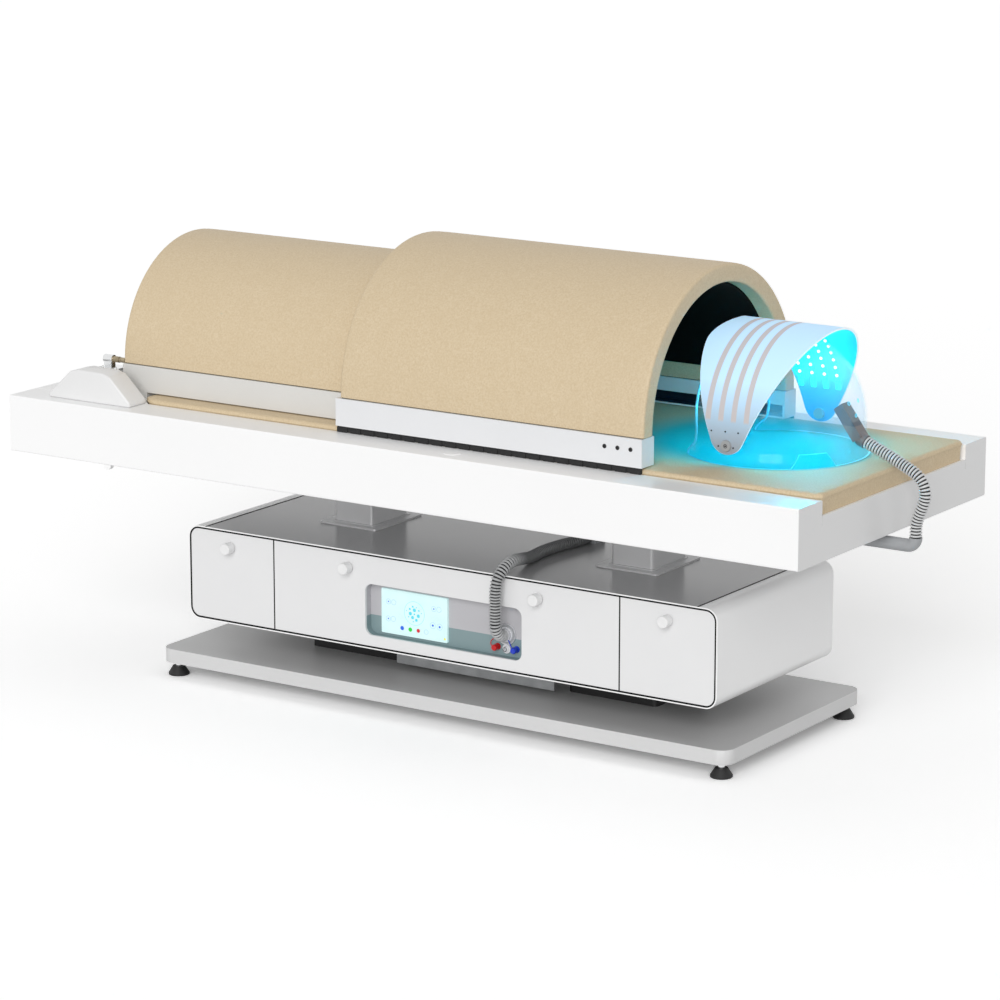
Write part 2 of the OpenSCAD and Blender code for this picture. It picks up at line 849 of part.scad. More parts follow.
// Ribbed hose with its bore along a route. It prints its length and the
// least gap between stretches that are over three diameters apart along it.
module ribbed_hose(route, side) {
    line = smooth(route);
    s = run(line);
    table = [column(s, line, 0), column(s, line, 1), column(s, line, 2)];
    total = s[len(s) - 1];
    ribs = round(total / rib_pitch);
    step = total / ribs;
    crest = hose_dia / 2;
    valley = crest - rib_deep;
    inside = valley - hose_wall;
    marks = [for (i = [0 : 12 : total]) i];
    gaps = [
        for (a = marks, b = marks)
        if (b - a > 3 * hose_dia) norm(spot(table, a) - spot(table, b)) - hose_dia
    ];
    echo(hose_length = total, ribs = ribs, least_gap = min(gaps));
    outer = concat(
        [ring(table, 0, valley, side)],
        [for (i = [0 : ribs - 1]) each [
            ring(table, (i + 0.3) * step, crest, side), ring(table, (i + 0.8) * step, valley, side)
        ]],
        [ring(table, total, valley, side)]
    );
    inner = [for (i = [ribs : -1 : 0]) ring(table, i * step, inside, side)];
    skin(concat(outer, inner), closed = true);
}

module service_hose() {
    color("darkgray") ribbed_hose(service_route, [1, 0, 0]);
}

// Low cowl on the cabinet's top that takes the hose down into the cabinet.
module hose_outlet() {
    mouth = service_route[len(service_route) - 1];
    half = hose_dia / 2 + 7;
    color("gray")
    difference() {
        union() {
            block([mouth[0] - half, mouth[1], cab_z1], [mouth[0] + half, mouth[1] + 46, mouth[2]]);
            translate([mouth[0], mouth[1] + 46, mouth[2]]) rotate([90, 0, 0])
                cylinder(r = half, h = 46);
        }
        translate([mouth[0], mouth[1] + 30, mouth[2]]) rotate([90, 0, 0])
            cylinder(d = hose_dia - 6, h = 40);
        block([mouth[0] - 2 * half, mouth[1] - cut, cab_z1 - half],
            [mouth[0] + 2 * half, mouth[1] + 60, cab_z1]);
    }
}

module head_hose() {
    color("darkgray") ribbed_hose(head_route, [0, 1, 0]);
}

// Bent pipe under the deck, from a flange on the pan to the hose.
module elbow_pipe() {
    mouth = head_route[len(head_route) - 1];
    bend = 20;
    bore = pipe_dia - 8;
    pipe_z = mouth[2] - bend;
    up_x = deck_len / 2 - pipe_inset;
    color("gray") {
        translate([mouth[0] - bend, 0, mouth[2]]) rotate([90, 0, 0]) rotate([0, 0, 270])
            pipe_bend(pipe_dia, bore, bend);
        translate([up_x + bend, 0, mouth[2]]) rotate([90, 0, 0]) rotate([0, 0, 180])
            pipe_bend(pipe_dia, bore, bend);
        difference() {
            union() {
                translate([up_x + bend, 0, pipe_z]) rotate([0, 90, 0])
                    cylinder(d = pipe_dia, h = mouth[0] - up_x - 2 * bend);
                translate([up_x, 0, mouth[2]]) cylinder(d = pipe_dia, h = pan_z - mouth[2]);
                translate([up_x, 0, pan_z - 6]) cylinder(d = 2 * pipe_dia, h = 6);
            }
            translate([up_x + bend - cut, 0, pipe_z]) rotate([0, 90, 0])
                cylinder(d = bore, h = mouth[0] - up_x - 2 * bend + 2 * cut);
            translate([up_x, 0, mouth[2] - cut]) cylinder(d = bore, h = pan_z - mouth[2] + 2 * cut);
        }
    }
}

// DECK

// Steel frame: a cross beam on each column and two long beams.
module deck_frame() {
    long_y = skirt_y - 4;
    color("darkgray") {
        for (p = column_places)
            block([p[0] - beam_wid / 2, -skirt_y, beam_z], [p[0] + beam_wid / 2, skirt_y, pan_z]);
        both_sides() block([-deck_len / 2 + deck_wall, long_y - long_beam_wid, beam_z],
            [deck_len / 2 - deck_wall, long_y, pan_z]);
    }
}

lip_wall = 8;

// Moulded rail: a top board, a deep outer skirt and a short inner wall.
module deck_rails() {
    color("white") both_sides() along_x(-deck_len / 2, deck_len / 2) difference() {
        translate([channel_half, deck_low]) round_rect([deck_rail, deck_high], deck_edge);
        translate([channel_half + lip_wall, deck_low - cut])
            square([deck_rail - lip_wall - deck_wall, board_z - deck_low + cut]);
        translate([channel_half - cut, deck_low - cut])
            square([lip_wall + 2 * cut, pan_z - deck_low + cut]);
    }
}

// Outline of the foot end's board, with the channel's cut corners.
module foot_board() {
    y = channel_half;
    polygon([
        [-deck_len / 2, -y], [channel_x + mattress_chamfer, -y], [channel_x, -y + mattress_chamfer],
        [channel_x, y - mattress_chamfer], [channel_x + mattress_chamfer, y], [-deck_len / 2, y]
    ]);
}

// Foot end: a board, the channel's end wall and a skirt. Head end: an apron.
module deck_ends() {
    end_x = deck_len / 2;
    lip_y = channel_half + lip_wall;
    color("white") {
        translate([0, 0, board_z]) linear_extrude(deck_wall) foot_board();
        translate([0, 0, channel_z]) linear_extrude(board_z - channel_z + cut) difference() {
            foot_board();
            translate([-deck_wall, 0]) foot_board();
        }
        difference() {
            block([-end_x, -skirt_y, deck_low], [-end_x + deck_wall, skirt_y, board_z]);
            both_sides() block([-end_x - cut, channel_half, pan_z],
                [-end_x + deck_wall + cut, lip_y, deck_top]);
        }
        difference() {
            block([end_x - deck_wall, -skirt_y, deck_low], [end_x, skirt_y, board_z]);
            block([end_x - deck_wall - cut, -channel_half, channel_z],
                [end_x + cut, channel_half, deck_top]);
            both_sides() block([end_x - deck_wall - cut, channel_half - cut, pan_z],
                [end_x + cut, lip_y, deck_top]);
        }
    }
}

// Floor board of the mattress channel.
module deck_pan() {
    color("white")
    block([channel_x - deck_wall, -channel_half, pan_z],
        [deck_len / 2 - deck_wall, channel_half, channel_z]);
}

// MATTRESS

// Outline of the mattress drawn in by d, with round corners of five points.
function corner(x, y, r, a0, a1) =
    [for (k = [0 : 4]) let (a = a0 + (a1 - a0) * k / 4) [x + r * cos(a), y + r * sin(a)]];
function mattress_outline(d) =
    let (x0 = channel_x + mattress_gap, x1 = deck_len / 2 - 4, y = channel_half - mattress_gap)
    let (r = 14, c = mattress_chamfer, q = r * tan(22.5))
    concat(
        corner(x1 - r, -y + r, r - d, -90, 0), corner(x1 - r, y - r, r - d, 0, 90),
        corner(x0 + c + q, y - r, r - d, 90, 135), corner(x0 + r, y - c - q, r - d, 135, 180),
        corner(x0 + r, -y + c + q, r - d, 180, 225), corner(x0 + c + q, -y + r, r - d, 225, 270)
    );
function lift_ring(points, z) = [for (p = points) [p[0], p[1], z]];

// Firm pad: drawn-in sides, rounded edges and a low crown.
module mattress() {
    r = mattress_round;
    low = channel_z + air;
    edge = bed_z - 0.5 - mattress_crown;
    mid_x = (channel_x + deck_len / 2) / 2;
    function crown_ring(s) = [
        for (p = mattress_outline(r))
        let (x = mid_x + (p[0] - mid_x) * s, y = p[1] * s) [x, y, edge + mattress_crown * (1 - s * s)]
    ];
    color("burlywood") skin(concat(
        [for (a = [0 : 30 : 90])
            lift_ring(mattress_outline(r * (1 - sin(a)) / 2), low + r * (1 - cos(a)) / 2)],
        [lift_ring(mattress_outline(0.8), (low + edge) / 2)],
        [for (a = [0 : 18 : 90]) lift_ring(mattress_outline(r * (1 - cos(a))), edge - r + r * sin(a))],
        [for (s = [0.85, 0.6, 0.3, 0.02]) crown_ring(s)]
    ));
}

// Round cap on the operator's rail, and the hook for a hand control under it.
module deck_fittings() {
    cap_dia = 42;
    cap_x = 171;
    hook_x = -800;
    hook_dia = 24;
    color("whitesmoke") translate([cap_x, deck_rail / 2 - deck_wid / 2, deck_top])
        cylinder(d1 = cap_dia, d2 = cap_dia - 2, h = 1);
    color("dimgray") translate([hook_x, 2 - deck_wid / 2, deck_low])
    intersection() {
        translate([0, hook_dia / 2, 0]) rotate([90, 0, 0]) cylinder(d = hook_dia, h = hook_dia / 2);
        translate([-hook_dia, 0, -hook_dia]) cube([2 * hook_dia, hook_dia, hook_dia]);
    }
}

// FOOT HOUSINGS AND CLAMPS

house_x = big_foot_x - big_travel - stop_gap - house_len;

// White housing on each deck rail, the end stop of the sliding canopy.
module end_housings() {
    top = deck_top + house_high;
    len = house_len;
    color("white")
    both_sides() translate([house_x, channel_half, 0]) along_y(0, house_wid)
        polygon([
            [0, deck_top], [0, deck_top + 9], [2, deck_top + 13], [len * 0.27, top - 7],
            [len * 0.31, top - 2.5], [len * 0.36, top], [len * 0.68, top - 2], [len * 0.73, top - 3.5],
            [len * 0.76, top - 8], [len - 1, deck_top + 14], [len, deck_top + 11], [len, deck_top]
        ]);
}

// Post and plate behind each housing, with the clamp's body on top.
module clamp_brackets() {
    x = small_foot_x - clamp_reach;
    plate_z = deck_top + clamp_up - 17;
    plate = [56, 58];
    post = [36, 32];
    body_len = clamp_reach - pin_reach;
    color("silver")
    both_sides() translate([x, clamp_y, 0]) {
        translate([10, -14, deck_top]) cube([post[0], post[1], clamp_up - 17]);
        translate([4, -18, plate_z - 5]) cube([plate[0], plate[1], 5]);
        block([2, -8, plate_z - 2], [body_len - 2, 8, deck_top + clamp_up]);
        translate([0, 0, deck_top + clamp_up]) rotate([0, 90, 0]) cylinder(d = 20, h = body_len);
        for (px = [12, plate[0] - 6], py = [24, plate[1] - 24])
            translate([px, py, plate_z - 1]) cylinder(d = 7, h = 4);
    }
}

// Threaded pin and its nut, from the clamp's body to the canopy's end.
module clamp_pins() {
    x = small_foot_x - pin_reach;
    color("black")
    both_sides() translate([x, clamp_y, deck_top + clamp_up]) rotate([0, 90, 0]) {
        cylinder(d = 15, h = pin_reach / 2);
        translate([0, 0, pin_reach / 2 - cut]) cylinder(d = 13, h = pin_reach / 2 + cut);
    }
}

// CANOPIES

rail_flange = 5;
rail_box = 33;
rail_back = 12;
rail_end = 6;

// Rail of one side: a channel that opens inwards, closed at both ends.
module canopy_rail(x0, x1, half) {
    difference() {
        block([x0, half - rail_wid, rail_z0], [x1, half, rail_z1]);
        block([x0 + rail_end, half - rail_wid - cut, rail_z0 + rail_flange],
            [x1 - rail_end, half - rail_back, rail_z1 - rail_box]);
    }
}

// Padded half tunnel with round edges, on two short legs.
module padded_arch(x0, x1, r_out) {
    r_in = r_out - pad_thick;
    translate([x0, 0, arch_z]) rotate([90, 0, 90]) rotate_extrude(angle = 180, $fn = 180)
        translate([r_in, 0]) round_rect([pad_thick, x1 - x0], pad_round);
    both_sides() translate([x0, r_in, rail_z1]) linear_extrude(arch_z - rail_z1)
        round_rect([x1 - x0, pad_thick], pad_round);
}

module small_cover() {
    color("burlywood") padded_arch(small_foot_x, small_foot_x + small_len, small_half - cover_step);
}

// Rails of the fixed canopy, with spacers where they pass the mattress.
module small_rails() {
    spacer_x = channel_x - 12;
    color("gainsboro") both_sides() {
        canopy_rail(small_foot_x, small_foot_x + small_len, small_half);
        block([small_foot_x, small_half - rail_wid, deck_top], [spacer_x, small_half, rail_z0 + cut]);
    }
}

module big_cover() {
    color("burlywood") padded_arch(big_foot_x + cover_inset, big_head_x, cover_out);
}

// Black lining under the cover, short of its edges all round.
module big_liner() {
    r = cover_out - pad_thick - air;
    x0 = big_foot_x + cover_inset + liner_margin;
    x1 = big_head_x - liner_margin;
    color("black")
    intersection() {
        translate([x0, 0, arch_z]) rotate([0, 90, 0]) difference() {
            cylinder(r = r, h = x1 - x0, $fn = 180);
            translate([0, 0, -cut]) cylinder(r = r - liner_thick, h = x1 - x0 + 2 * cut, $fn = 180);
        }
        block([x0 - cut, -r - cut, rail_z1 + liner_margin], [x1 + cut, r + cut, arch_z + r + cut]);
    }
}

screw_deep = 6;

// Round hole or screw in the outer face of a rail.
module rail_screw(d, h, proud) {
    for (k = [0 : 2])
        translate([screw_x + k * screw_pitch, big_half + proud, rail_z1 - 25])
            rotate([90, 0, 0]) cylinder(d = d, h = h);
}

module big_rails() {
    color("gainsboro") both_sides() difference() {
        canopy_rail(big_foot_x, big_head_x, big_half);
        rail_screw(screw_dia + 2 * pin_play, screw_deep + cut, cut);
    }
}

module rail_screws() {
    color("black") both_sides() difference() {
        rail_screw(screw_dia, screw_deep + 0.5, 1);
        rail_screw(screw_dia * 0.45, 3, 2);
    }
}

// Black strips under the rails: a bar close above the deck, with glide pads
// that stand out of its outer side.
module glide_strips() {
    strip_end = 3;
    pad_share = 0.75;
    pad_proud = 1.5;
    strip_len = big_len - 2 * strip_end;
    count = round(strip_len / glide_pitch);
    pitch = strip_len / (count - 1 + pad_share);
    color("black") both_sides()
    translate([big_foot_x + strip_end, big_half - glide_wid - run_gap, 0]) {
        block([0, 0, deck_top + 5 * air], [strip_len, glide_wid - pad_proud, rail_z0]);
        for (k = [0 : count - 1])
            block([k * pitch, 0, deck_top + air],
                [(k + pad_share) * pitch, glide_wid, rail_z0 - 2 * pad_proud]);
    }
}

// HEAD HOOD

// Rectangular tube of the nozzle, grown all round.
module nozzle_tube(grow, len) {
    translate(nozzle_tip) rotate([0, nozzle_lean, 0])
        translate([-grow, -nozzle_wid / 2 - grow, -nozzle_high / 2 - grow])
            cube([len, nozzle_wid + 2 * grow, nozzle_high + 2 * grow]);
}

// Clear dome on a straight wall with a flared rim, open round the neck.
module hood() {
    rim_z = hood_low + rim_band;
    flare_z = hood_low + rim_band + rim_rise;
    color("powderblue", 0.4)
    difference() {
        union() {
            translate([hood_x, 0, 0]) rotate_extrude($fn = 180) polygon([
                [hood_r - hood_wall, hood_z], [hood_r - hood_wall, flare_z],
                [hood_rim_r - hood_wall, rim_z], [hood_rim_r - hood_wall, hood_low],
                [hood_rim_r, hood_low], [hood_rim_r, rim_z], [hood_r, flare_z], [hood_r, hood_z]
            ]);
            translate([hood_x, 0, hood_z]) difference() {
                sphere(r = hood_r, $fn = 180);
                sphere(r = hood_r - hood_wall, $fn = 180);
                translate([0, 0, -2 * hood_r]) cube(4 * hood_r, center = true);
            }
        }
        translate([hood_x - hood_r - 20, 0, bed_z + neck_up]) rotate([0, 90, 0])
            cylinder(r = neck_r, h = hood_r + 20);
        translate([hood_x, 0, 0]) rotate([0, 0, -37]) along_x(hood_r / 2, hood_rim_r + 20)
            polygon([
                [-notch_wid / 2, hood_low - cut], [notch_wid / 2, hood_low - cut],
                [notch_wid * 0.3, hood_low + notch_high], [-notch_wid * 0.3, hood_low + notch_high]
            ]);
        nozzle_tube(2 * air, 120);
    }
}

// Round boss on each side of the hood, with a blind bore for the visor's pin.
module hood_pivots() {
    boss_dia = pivot_cap - 2;
    face = visor_r - visor_wall - air;
    color("gray") both_sides() difference() {
        translate([pivot_x, face, pivot_z]) rotate([90, 0, 0])
            cylinder(d = boss_dia, h = face - hood_r + 8);
        translate([hood_x, 0, pivot_z - boss_dia]) cylinder(r = hood_r + air, h = 2 * boss_dia, $fn = 180);
        translate([pivot_x, face + cut, pivot_z]) rotate([90, 0, 0])
            cylinder(d = pivot_pin + 2 * pin_play, h = face + cut + 4 * air - pin_end);
    }
}

// Rectangular nozzle that blows into the hood, and the round cuff for its hose.
module nozzle() {
    cuff = 18;
    start = head_route[0];
    color("dimgray")
    difference() {
        union() {
            nozzle_tube(0, 86);
            translate(start) rotate([0, head_lean + 90, 0]) translate([0, 0, -cuff])
                cylinder(d = hose_dia + 6, h = cuff);
        }
        nozzle_tube(-2.5, 80);
        translate(start) rotate([0, head_lean + 90, 0]) translate([0, 0, -cuff - 6])
            cylinder(d = hose_dia - 6, h = cuff + 7);
    }
}

// VISOR

// Circles whose common outline is the visor's side view: middle and radius.
visor_discs = [
    [pivot_x, pivot_z + tip_up, tip_r],
    [pivot_x + front_reach, pivot_z + front_up, front_r],
    [pivot_x - back_reach, pivot_z + back_up, back_r]
];
// Straight edge that touches two discs on their right-hand side.
function touch(a, b) =
    let (d = [b[0] - a[0], b[1] - a[1]], l = norm(d), k = (a[2] - b[2]) / l, w = sqrt(1 - k * k))
    let (n = [d[0] * k + d[1] * w, d[1] * k - d[0] * w] / l)
    [[a[0], a[1]] + a[2] * n, [b[0], b[1]] + b[2] * n];

module visor_outline() {
    d = visor_discs;
    for (c = d) translate([c[0], c[1]]) circle(r = c[2]);
    polygon(concat(touch(d[0], d[1]), touch(d[1], d[2]), touch(d[2], d[0])));
}

visor_z = pivot_z + arch_up;

// Half tunnel across the hood with straight legs, solid.
module visor_arch(r, x0, x1) {
    along_x(x0, x1) {
        translate([0, visor_z]) circle(r = r, $fn = 180);
        translate([-r, pivot_z - tip_r]) square([2 * r, visor_z - pivot_z + tip_r]);
    }
}

// Thin moulded shell, rounded to a tip at each pivot.
module visor_shell() {
    x0 = visor_discs[2][0] - visor_discs[2][2] - cut;
    x1 = visor_discs[1][0] + visor_discs[1][2] + cut;
    color("aliceblue", 0.8)
    difference() {
        intersection() {
            visor_arch(visor_r, x0, x1);
            along_y(-visor_r, visor_r) visor_outline();
        }
        visor_arch(visor_r - visor_wall, x0 - cut, x1 + cut);
        translate([pivot_x, visor_r + cut, pivot_z]) rotate([90, 0, 0])
            cylinder(d = pivot_pin + 2 * pin_play, h = 2 * visor_r + 2 * cut);
    }
}

// Four light strips along the inside of the arch.
module visor_strips() {
    r = visor_r - visor_wall - air;
    first = pivot_x - 1.5 * strip_pitch;
    color("deepskyblue")
    for (k = [0 : 3]) translate([first + k * strip_pitch - strip_wid / 2, 0, visor_z])
    intersection() {
        rotate([0, 90, 0]) difference() {
            cylinder(r = r, h = strip_wid, $fn = 180);
            translate([0, 0, -cut]) cylinder(r = r - 1.5, h = strip_wid + 2 * cut, $fn = 180);
        }
        block([-cut, -r, 30], [strip_wid + cut, r, r + cut]);
    }
}

// Cap outside the visor and the pin that turns in the hood's boss.
module visor_caps() {
    color("gray") both_sides() translate([pivot_x, visor_r, pivot_z]) {
        translate([0, 5, 0]) rotate([90, 0, 0]) cylinder(d1 = pivot_cap - 3, d2 = pivot_cap, h = 5);
        translate([0, cut, 0]) rotate([90, 0, 0]) cylinder(d = pivot_pin, h = visor_r + cut - pin_end);
    }
}

base_plate();
foot_stems();
foot_pad(0);  // foot_pad_1
foot_pad(1);  // foot_pad_2
foot_pad(2);  // foot_pad_3
foot_pad(3);  // foot_pad_4
column_feet();
tie_beam();
outer_columns();
middle_columns();
inner_columns();
collar_plates();
cabinet_end_caps();
cabinet_top();
cabinet_bottom();
cabinet_back();
inner_frame();
drawer_slides();
drawer_front(-1);  // drawer_front_left
drawer_box(-1);  // drawer_box_left
drawer_knob(-1);  // drawer_knob_left
drawer_front(1);  // drawer_front_right
drawer_box(1);  // drawer_box_right
drawer_knob(1);  // drawer_knob_right
centre_cover();
lock_knob(-1);  // lock_knob_left
lock_knob(1);  // lock_knob_right
console_tray();
touch_screen();
control_unit();
panel_sockets();
red_plug();
blue_plug();
hose_cuff();
service_hose();
hose_outlet();
deck_frame();
deck_rails();
deck_ends();
deck_pan();
mattress();
deck_fittings();
end_housings();
clamp_brackets();
clamp_pins();
small_cover();
small_rails();
big_cover();
big_liner();
big_rails();
glide_strips();
rail_screws();
hood();
hood_pivots();
visor_shell();
visor_strips();
visor_caps();
nozzle();
head_hose();
elbow_pipe();
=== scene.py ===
# Spa bed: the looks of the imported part. Metres, in the part's own frame: +X to
# the head end, -Y to the operator's side, +Z up, origin on the floor.
import math

import bpy
import numpy as np
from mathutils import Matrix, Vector


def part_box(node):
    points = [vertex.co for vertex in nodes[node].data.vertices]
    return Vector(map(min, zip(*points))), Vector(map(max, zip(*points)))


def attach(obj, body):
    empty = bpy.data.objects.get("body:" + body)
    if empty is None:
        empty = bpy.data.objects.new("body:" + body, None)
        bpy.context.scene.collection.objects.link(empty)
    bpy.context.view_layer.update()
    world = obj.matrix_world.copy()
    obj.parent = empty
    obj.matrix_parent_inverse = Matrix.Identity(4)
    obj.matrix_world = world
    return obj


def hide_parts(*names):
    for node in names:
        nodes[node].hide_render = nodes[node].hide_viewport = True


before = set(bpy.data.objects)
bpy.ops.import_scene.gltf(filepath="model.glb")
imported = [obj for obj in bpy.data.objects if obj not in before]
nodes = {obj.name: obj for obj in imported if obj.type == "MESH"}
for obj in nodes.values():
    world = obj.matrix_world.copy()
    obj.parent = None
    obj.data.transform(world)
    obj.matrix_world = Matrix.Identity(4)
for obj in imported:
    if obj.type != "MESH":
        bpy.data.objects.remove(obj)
scene = bpy.context.scene
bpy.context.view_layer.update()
bpy.ops.object.select_all(action="DESELECT")

# CAMERA
# Long lens, a little above the mattress, from the head end's front corner. Its
# place was solved from the straight edges of the deck, cabinet and base plate.
bpy.ops.object.camera_add(location=(5.0135, -7.4769, 2.5886))
camera = bpy.context.object
camera.rotation_euler = Vector((-0.5393, 0.8111, -0.2267)).to_track_quat("-Z", "Y").to_euler()
camera.data.sensor_width = 36
camera.data.lens = 139.41
camera.data.clip_end = 100
scene.camera = camera
scene.view_settings.view_transform = "Standard"


# HOSES
# Ribbed hoses of grey polyethylene: round crests wound over a thin wall painted black
# for the shade between the ribs, extruded. One brings air from the console, the other to the nozzle.
def smooth_line(route, steps=8):
    """The route's points in metres, with more between them on one smooth curve."""
    p = np.array(route, float) / 1000
    p = np.vstack([2 * p[0] - p[1], p, 2 * p[-1] - p[-2]])
    line = []
    for a, b, c, d in zip(p, p[1:], p[2:], p[3:]):
        for t in np.arange(steps) / steps:
            line.append(b + t * (c - a) / 2 + t * t * (a - 2.5 * b + 2 * c - d / 2)
                        + t ** 3 * (1.5 * (b - c) + (d - a) / 2))
    line.append(p[-2])
    return np.array(line)


def lofted(name, rings, tip=0):
    """A closed mesh through rings of points. Each end is closed by strips laid
    across the ring, from the point with index tip to the one opposite."""
    n, m = len(rings[0]), len(rings)
    faces = [[i * n + j, i * n + (j + 1) % n, (i + 1) * n + (j + 1) % n, (i + 1) * n + j]
             for i in range(m - 1) for j in range(n)]
    for k in range(n // 2):
        across = [tip + k, tip + k + 1, tip - k - 1, tip - k]
        across = list(dict.fromkeys(j % n for j in across))
        faces += [across[::-1], [(m - 1) * n + j for j in across]]
    mesh = bpy.data.meshes.new(name)
    mesh.from_pydata([tuple(p) for ring in rings for p in ring], [], faces)
    mesh.polygons.foreach_set("use_smooth", [k < (m - 1) * n for k in range(len(faces))])
    piece = bpy.data.objects.new(name, mesh)
    scene.collection.objects.link(piece)
    return piece


def srgb(code):
    """A colour written as a hex code, as linear values."""
    parts = [int(code[i:i + 2], 16) / 255 for i in (1, 3, 5)]
    return [c / 12.92 if c <= 0.04045 else ((c + 0.055) / 1.055) ** 2.4 for c in parts] + [1.0]


def feed(mat, key, value, node="Principled BSDF"):
    """Links an output to a node's socket, or sets that socket's own value."""
    socket = mat.node_tree.nodes[node].inputs[key]
    if isinstance(value, bpy.types.NodeSocket):
        mat.node_tree.links.new(value, socket)
    else:
        socket.default_value = value


def add(mat, kind, inputs=(), **settings):
    """Adds a shader node with its settings, and sets or links its inputs."""
    made = mat.node_tree.nodes.new("ShaderNode" + kind)
    for key, value in settings.items():
        setattr(made, key, value)
    for key, value in dict(inputs).items():
        feed(mat, key, value, made.name)
    return made


def finish_of(name, light, dark, rough, grain, depth, patch=0.15, metal=0.0, spread=0.05):
    """A surface whose colour drifts between two tones over patches, and whose
    gloss and relief vary with a grain of a real size."""
    mat = bpy.data.materials.new(name)
    mat.use_nodes = True
    place = add(mat, "TexCoord").outputs["Object"]
    clouds = add(mat, "TexNoise", {"Vector": place, "Scale": 1 / patch, "Detail": 3.0})
    fine = add(mat, "TexNoise", {"Vector": place, "Scale": 1 / grain, "Detail": 2.0})
    colour = add(mat, "Mix", {0: clouds.outputs[0], 6: srgb(dark), 7: srgb(light)}, data_type="RGBA")
    gloss = add(mat, "MapRange", {"Value": clouds.outputs[0], "To Min": rough - spread, "To Max": rough + spread})
    relief = add(mat, "Bump", {"Height": fine.outputs[0], "Distance": depth, "Strength": 0.6})
    feed(mat, "Base Color", colour.outputs[2])
    feed(mat, "Roughness", gloss.outputs[0])
    feed(mat, "Normal", relief.outputs[0])
    feed(mat, "Metallic", metal)
    return mat


def place_in(mat):
    """Where each point of a surface lies in its object."""
    return mat.node_tree.nodes["Texture Coordinate"].outputs["Object"]


def colour_of(mat):
    """The colour that a finish has so far."""
    return mat.node_tree.nodes["Principled BSDF"].inputs["Base Color"].links[0].from_socket


def dress(mat, *names):
    """Gives a material to CAD nodes."""
    for name in names:
        nodes[name].data.materials.clear()
        nodes[name].data.materials.append(mat)


def ribbed_hose(name, route, side, ribs, crest_finish):
    """A hose 26 mm wide on average, 29 mm over its ribs, along a route in
    millimetres. Returns it, its middle line and its length."""
    line = smooth_line(route)
    run = np.concatenate([[0], np.cumsum(np.linalg.norm(np.diff(line, axis=0), axis=1))])
    step = run[-1] / ribs
    # one rib: its share of the step, and the hose's radius there
    profile = [(0.0, 0.0112), (0.10, 0.0114), (0.16, 0.0130), (0.26, 0.0142), (0.40, 0.0145),
               (0.54, 0.0142), (0.64, 0.0130), (0.70, 0.0114)]
    corners, look = 20, 0.002
    rings, crest = [], []
    for i in range(ribs):
        for share, radius in profile:
            s = (i + share) * step
            back, here, ahead = (np.array([np.interp(s + d, run, line[:, k]) for k in range(3)])
                                 for d in (-look, 0, look))
            way = (ahead - back) / np.linalg.norm(ahead - back)
            u = np.array(side) - np.dot(side, way) * way
            u /= np.linalg.norm(u)
            v = np.cross(way, u)
            rings.append([here + radius * (math.cos(a) * u + math.sin(a) * v)
                          for a in np.arange(corners) * math.tau / corners])
            crest.append(0.09 < share < 0.65)
    rings.append([np.array(p) - here + line[-1] for p in rings[-1]])
    piece = lofted(name, rings)
    piece.data.materials.append(crest_finish)
    piece.data.materials.append(hose_gap)
    marks = [0 if high else 1 for high in crest for _ in range(corners)] + [1] * corners
    piece.data.polygons.foreach_set("material_index", marks)
    return piece, [list(p) for p in line], float(run[-1])


# moulded polyethylene: pale crests with a soft satin shine
hose_crest = finish_of("polyethylene_crest", "#dadbdc", "#c2c3c4", 0.36, 0.003, 0.0002, 0.04)
# painted shade: the console's hose lies in the deck's shade, and takes a darker copy of the crest
shaded_crest = finish_of("polyethylene_crest_shaded", "#bebfc0", "#a2a3a4", 0.42, 0.003, 0.0002, 0.04)
# painted shade: the run that lies on the cabinet, deeper under the deck, is painted darker still
spot = add(shaded_crest, "SeparateXYZ", {0: place_in(shaded_crest)})
lying = add(shaded_crest, "MapRange", {"Value": spot.outputs["Y"], "From Min": -0.20, "From Max": -0.13})
painted_shade = add(shaded_crest, "Mix", {0: lying.outputs[0], 6: colour_of(shaded_crest), 7: srgb("#6a6b6c")},
            data_type="RGBA")
feed(shaded_crest, "Base Color", painted_shade.outputs[2])
# painted shade: the thin wall between two ribs lies in its own shade, and is painted black
hose_gap = finish_of("polyethylene_wall", "#121212", "#080808", 0.6, 0.003, 0.0002, 0.03)

# from the elbow up the cabinet's front, over its edge and along its top
service_route = [
    [188, -240, 269], [188, -240, 296], [188, -240, 324], [189, -240, 350], [191, -236, 373],
    [195, -224, 391], [198, -206, 403], [199, -184, 408], [197, -160, 407], [193, -132, 403],
    [188, -103, 398], [182, -74, 395], [177, -44, 394.5], [174, -12, 394.5], [174, 20, 394.5],
    [177, 52, 394.5], [182, 82, 394.5], [187, 108, 394.5], [189, 130, 394.5], [189, 160, 394.5],
]
elbow_bend = 36
elbow_route = [[188, -204 - elbow_bend * math.sin(math.radians(a)), 269 - elbow_bend * math.cos(math.radians(a))]
               for a in range(0, 91, 15)]
hose_elbow = ribbed_hose("hose_elbow_ribbed", elbow_route, (1, 0, 0), 8, shaded_crest)[0]
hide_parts("hose_cuff")
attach(hose_elbow, "base")
service_hose, line, length = ribbed_hose("service_hose_ribbed", service_route, (1, 0, 0), 71, shaded_crest)
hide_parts("service_hose")
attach(service_hose, "base")

# from the nozzle's cuff over the deck's end and down to the pipe
head_route = [
    [1022, 0, 758], [1048, 0, 747], [1072, 0, 737], [1097, 0, 726], [1120, 0, 715], [1142, 0, 704],
    [1157, 0, 693], [1168, 0, 678], [1173, 0, 660], [1171, 0, 641], [1164, 0, 621], [1157, 0, 603],
    [1153, 0, 588], [1152, 0, 575], [1152, 0, 556],
]
head_hose, line, length = ribbed_hose("head_hose_ribbed", head_route, (0, 1, 0), 40, hose_crest)
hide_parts("head_hose")
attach(head_hose, "deck")

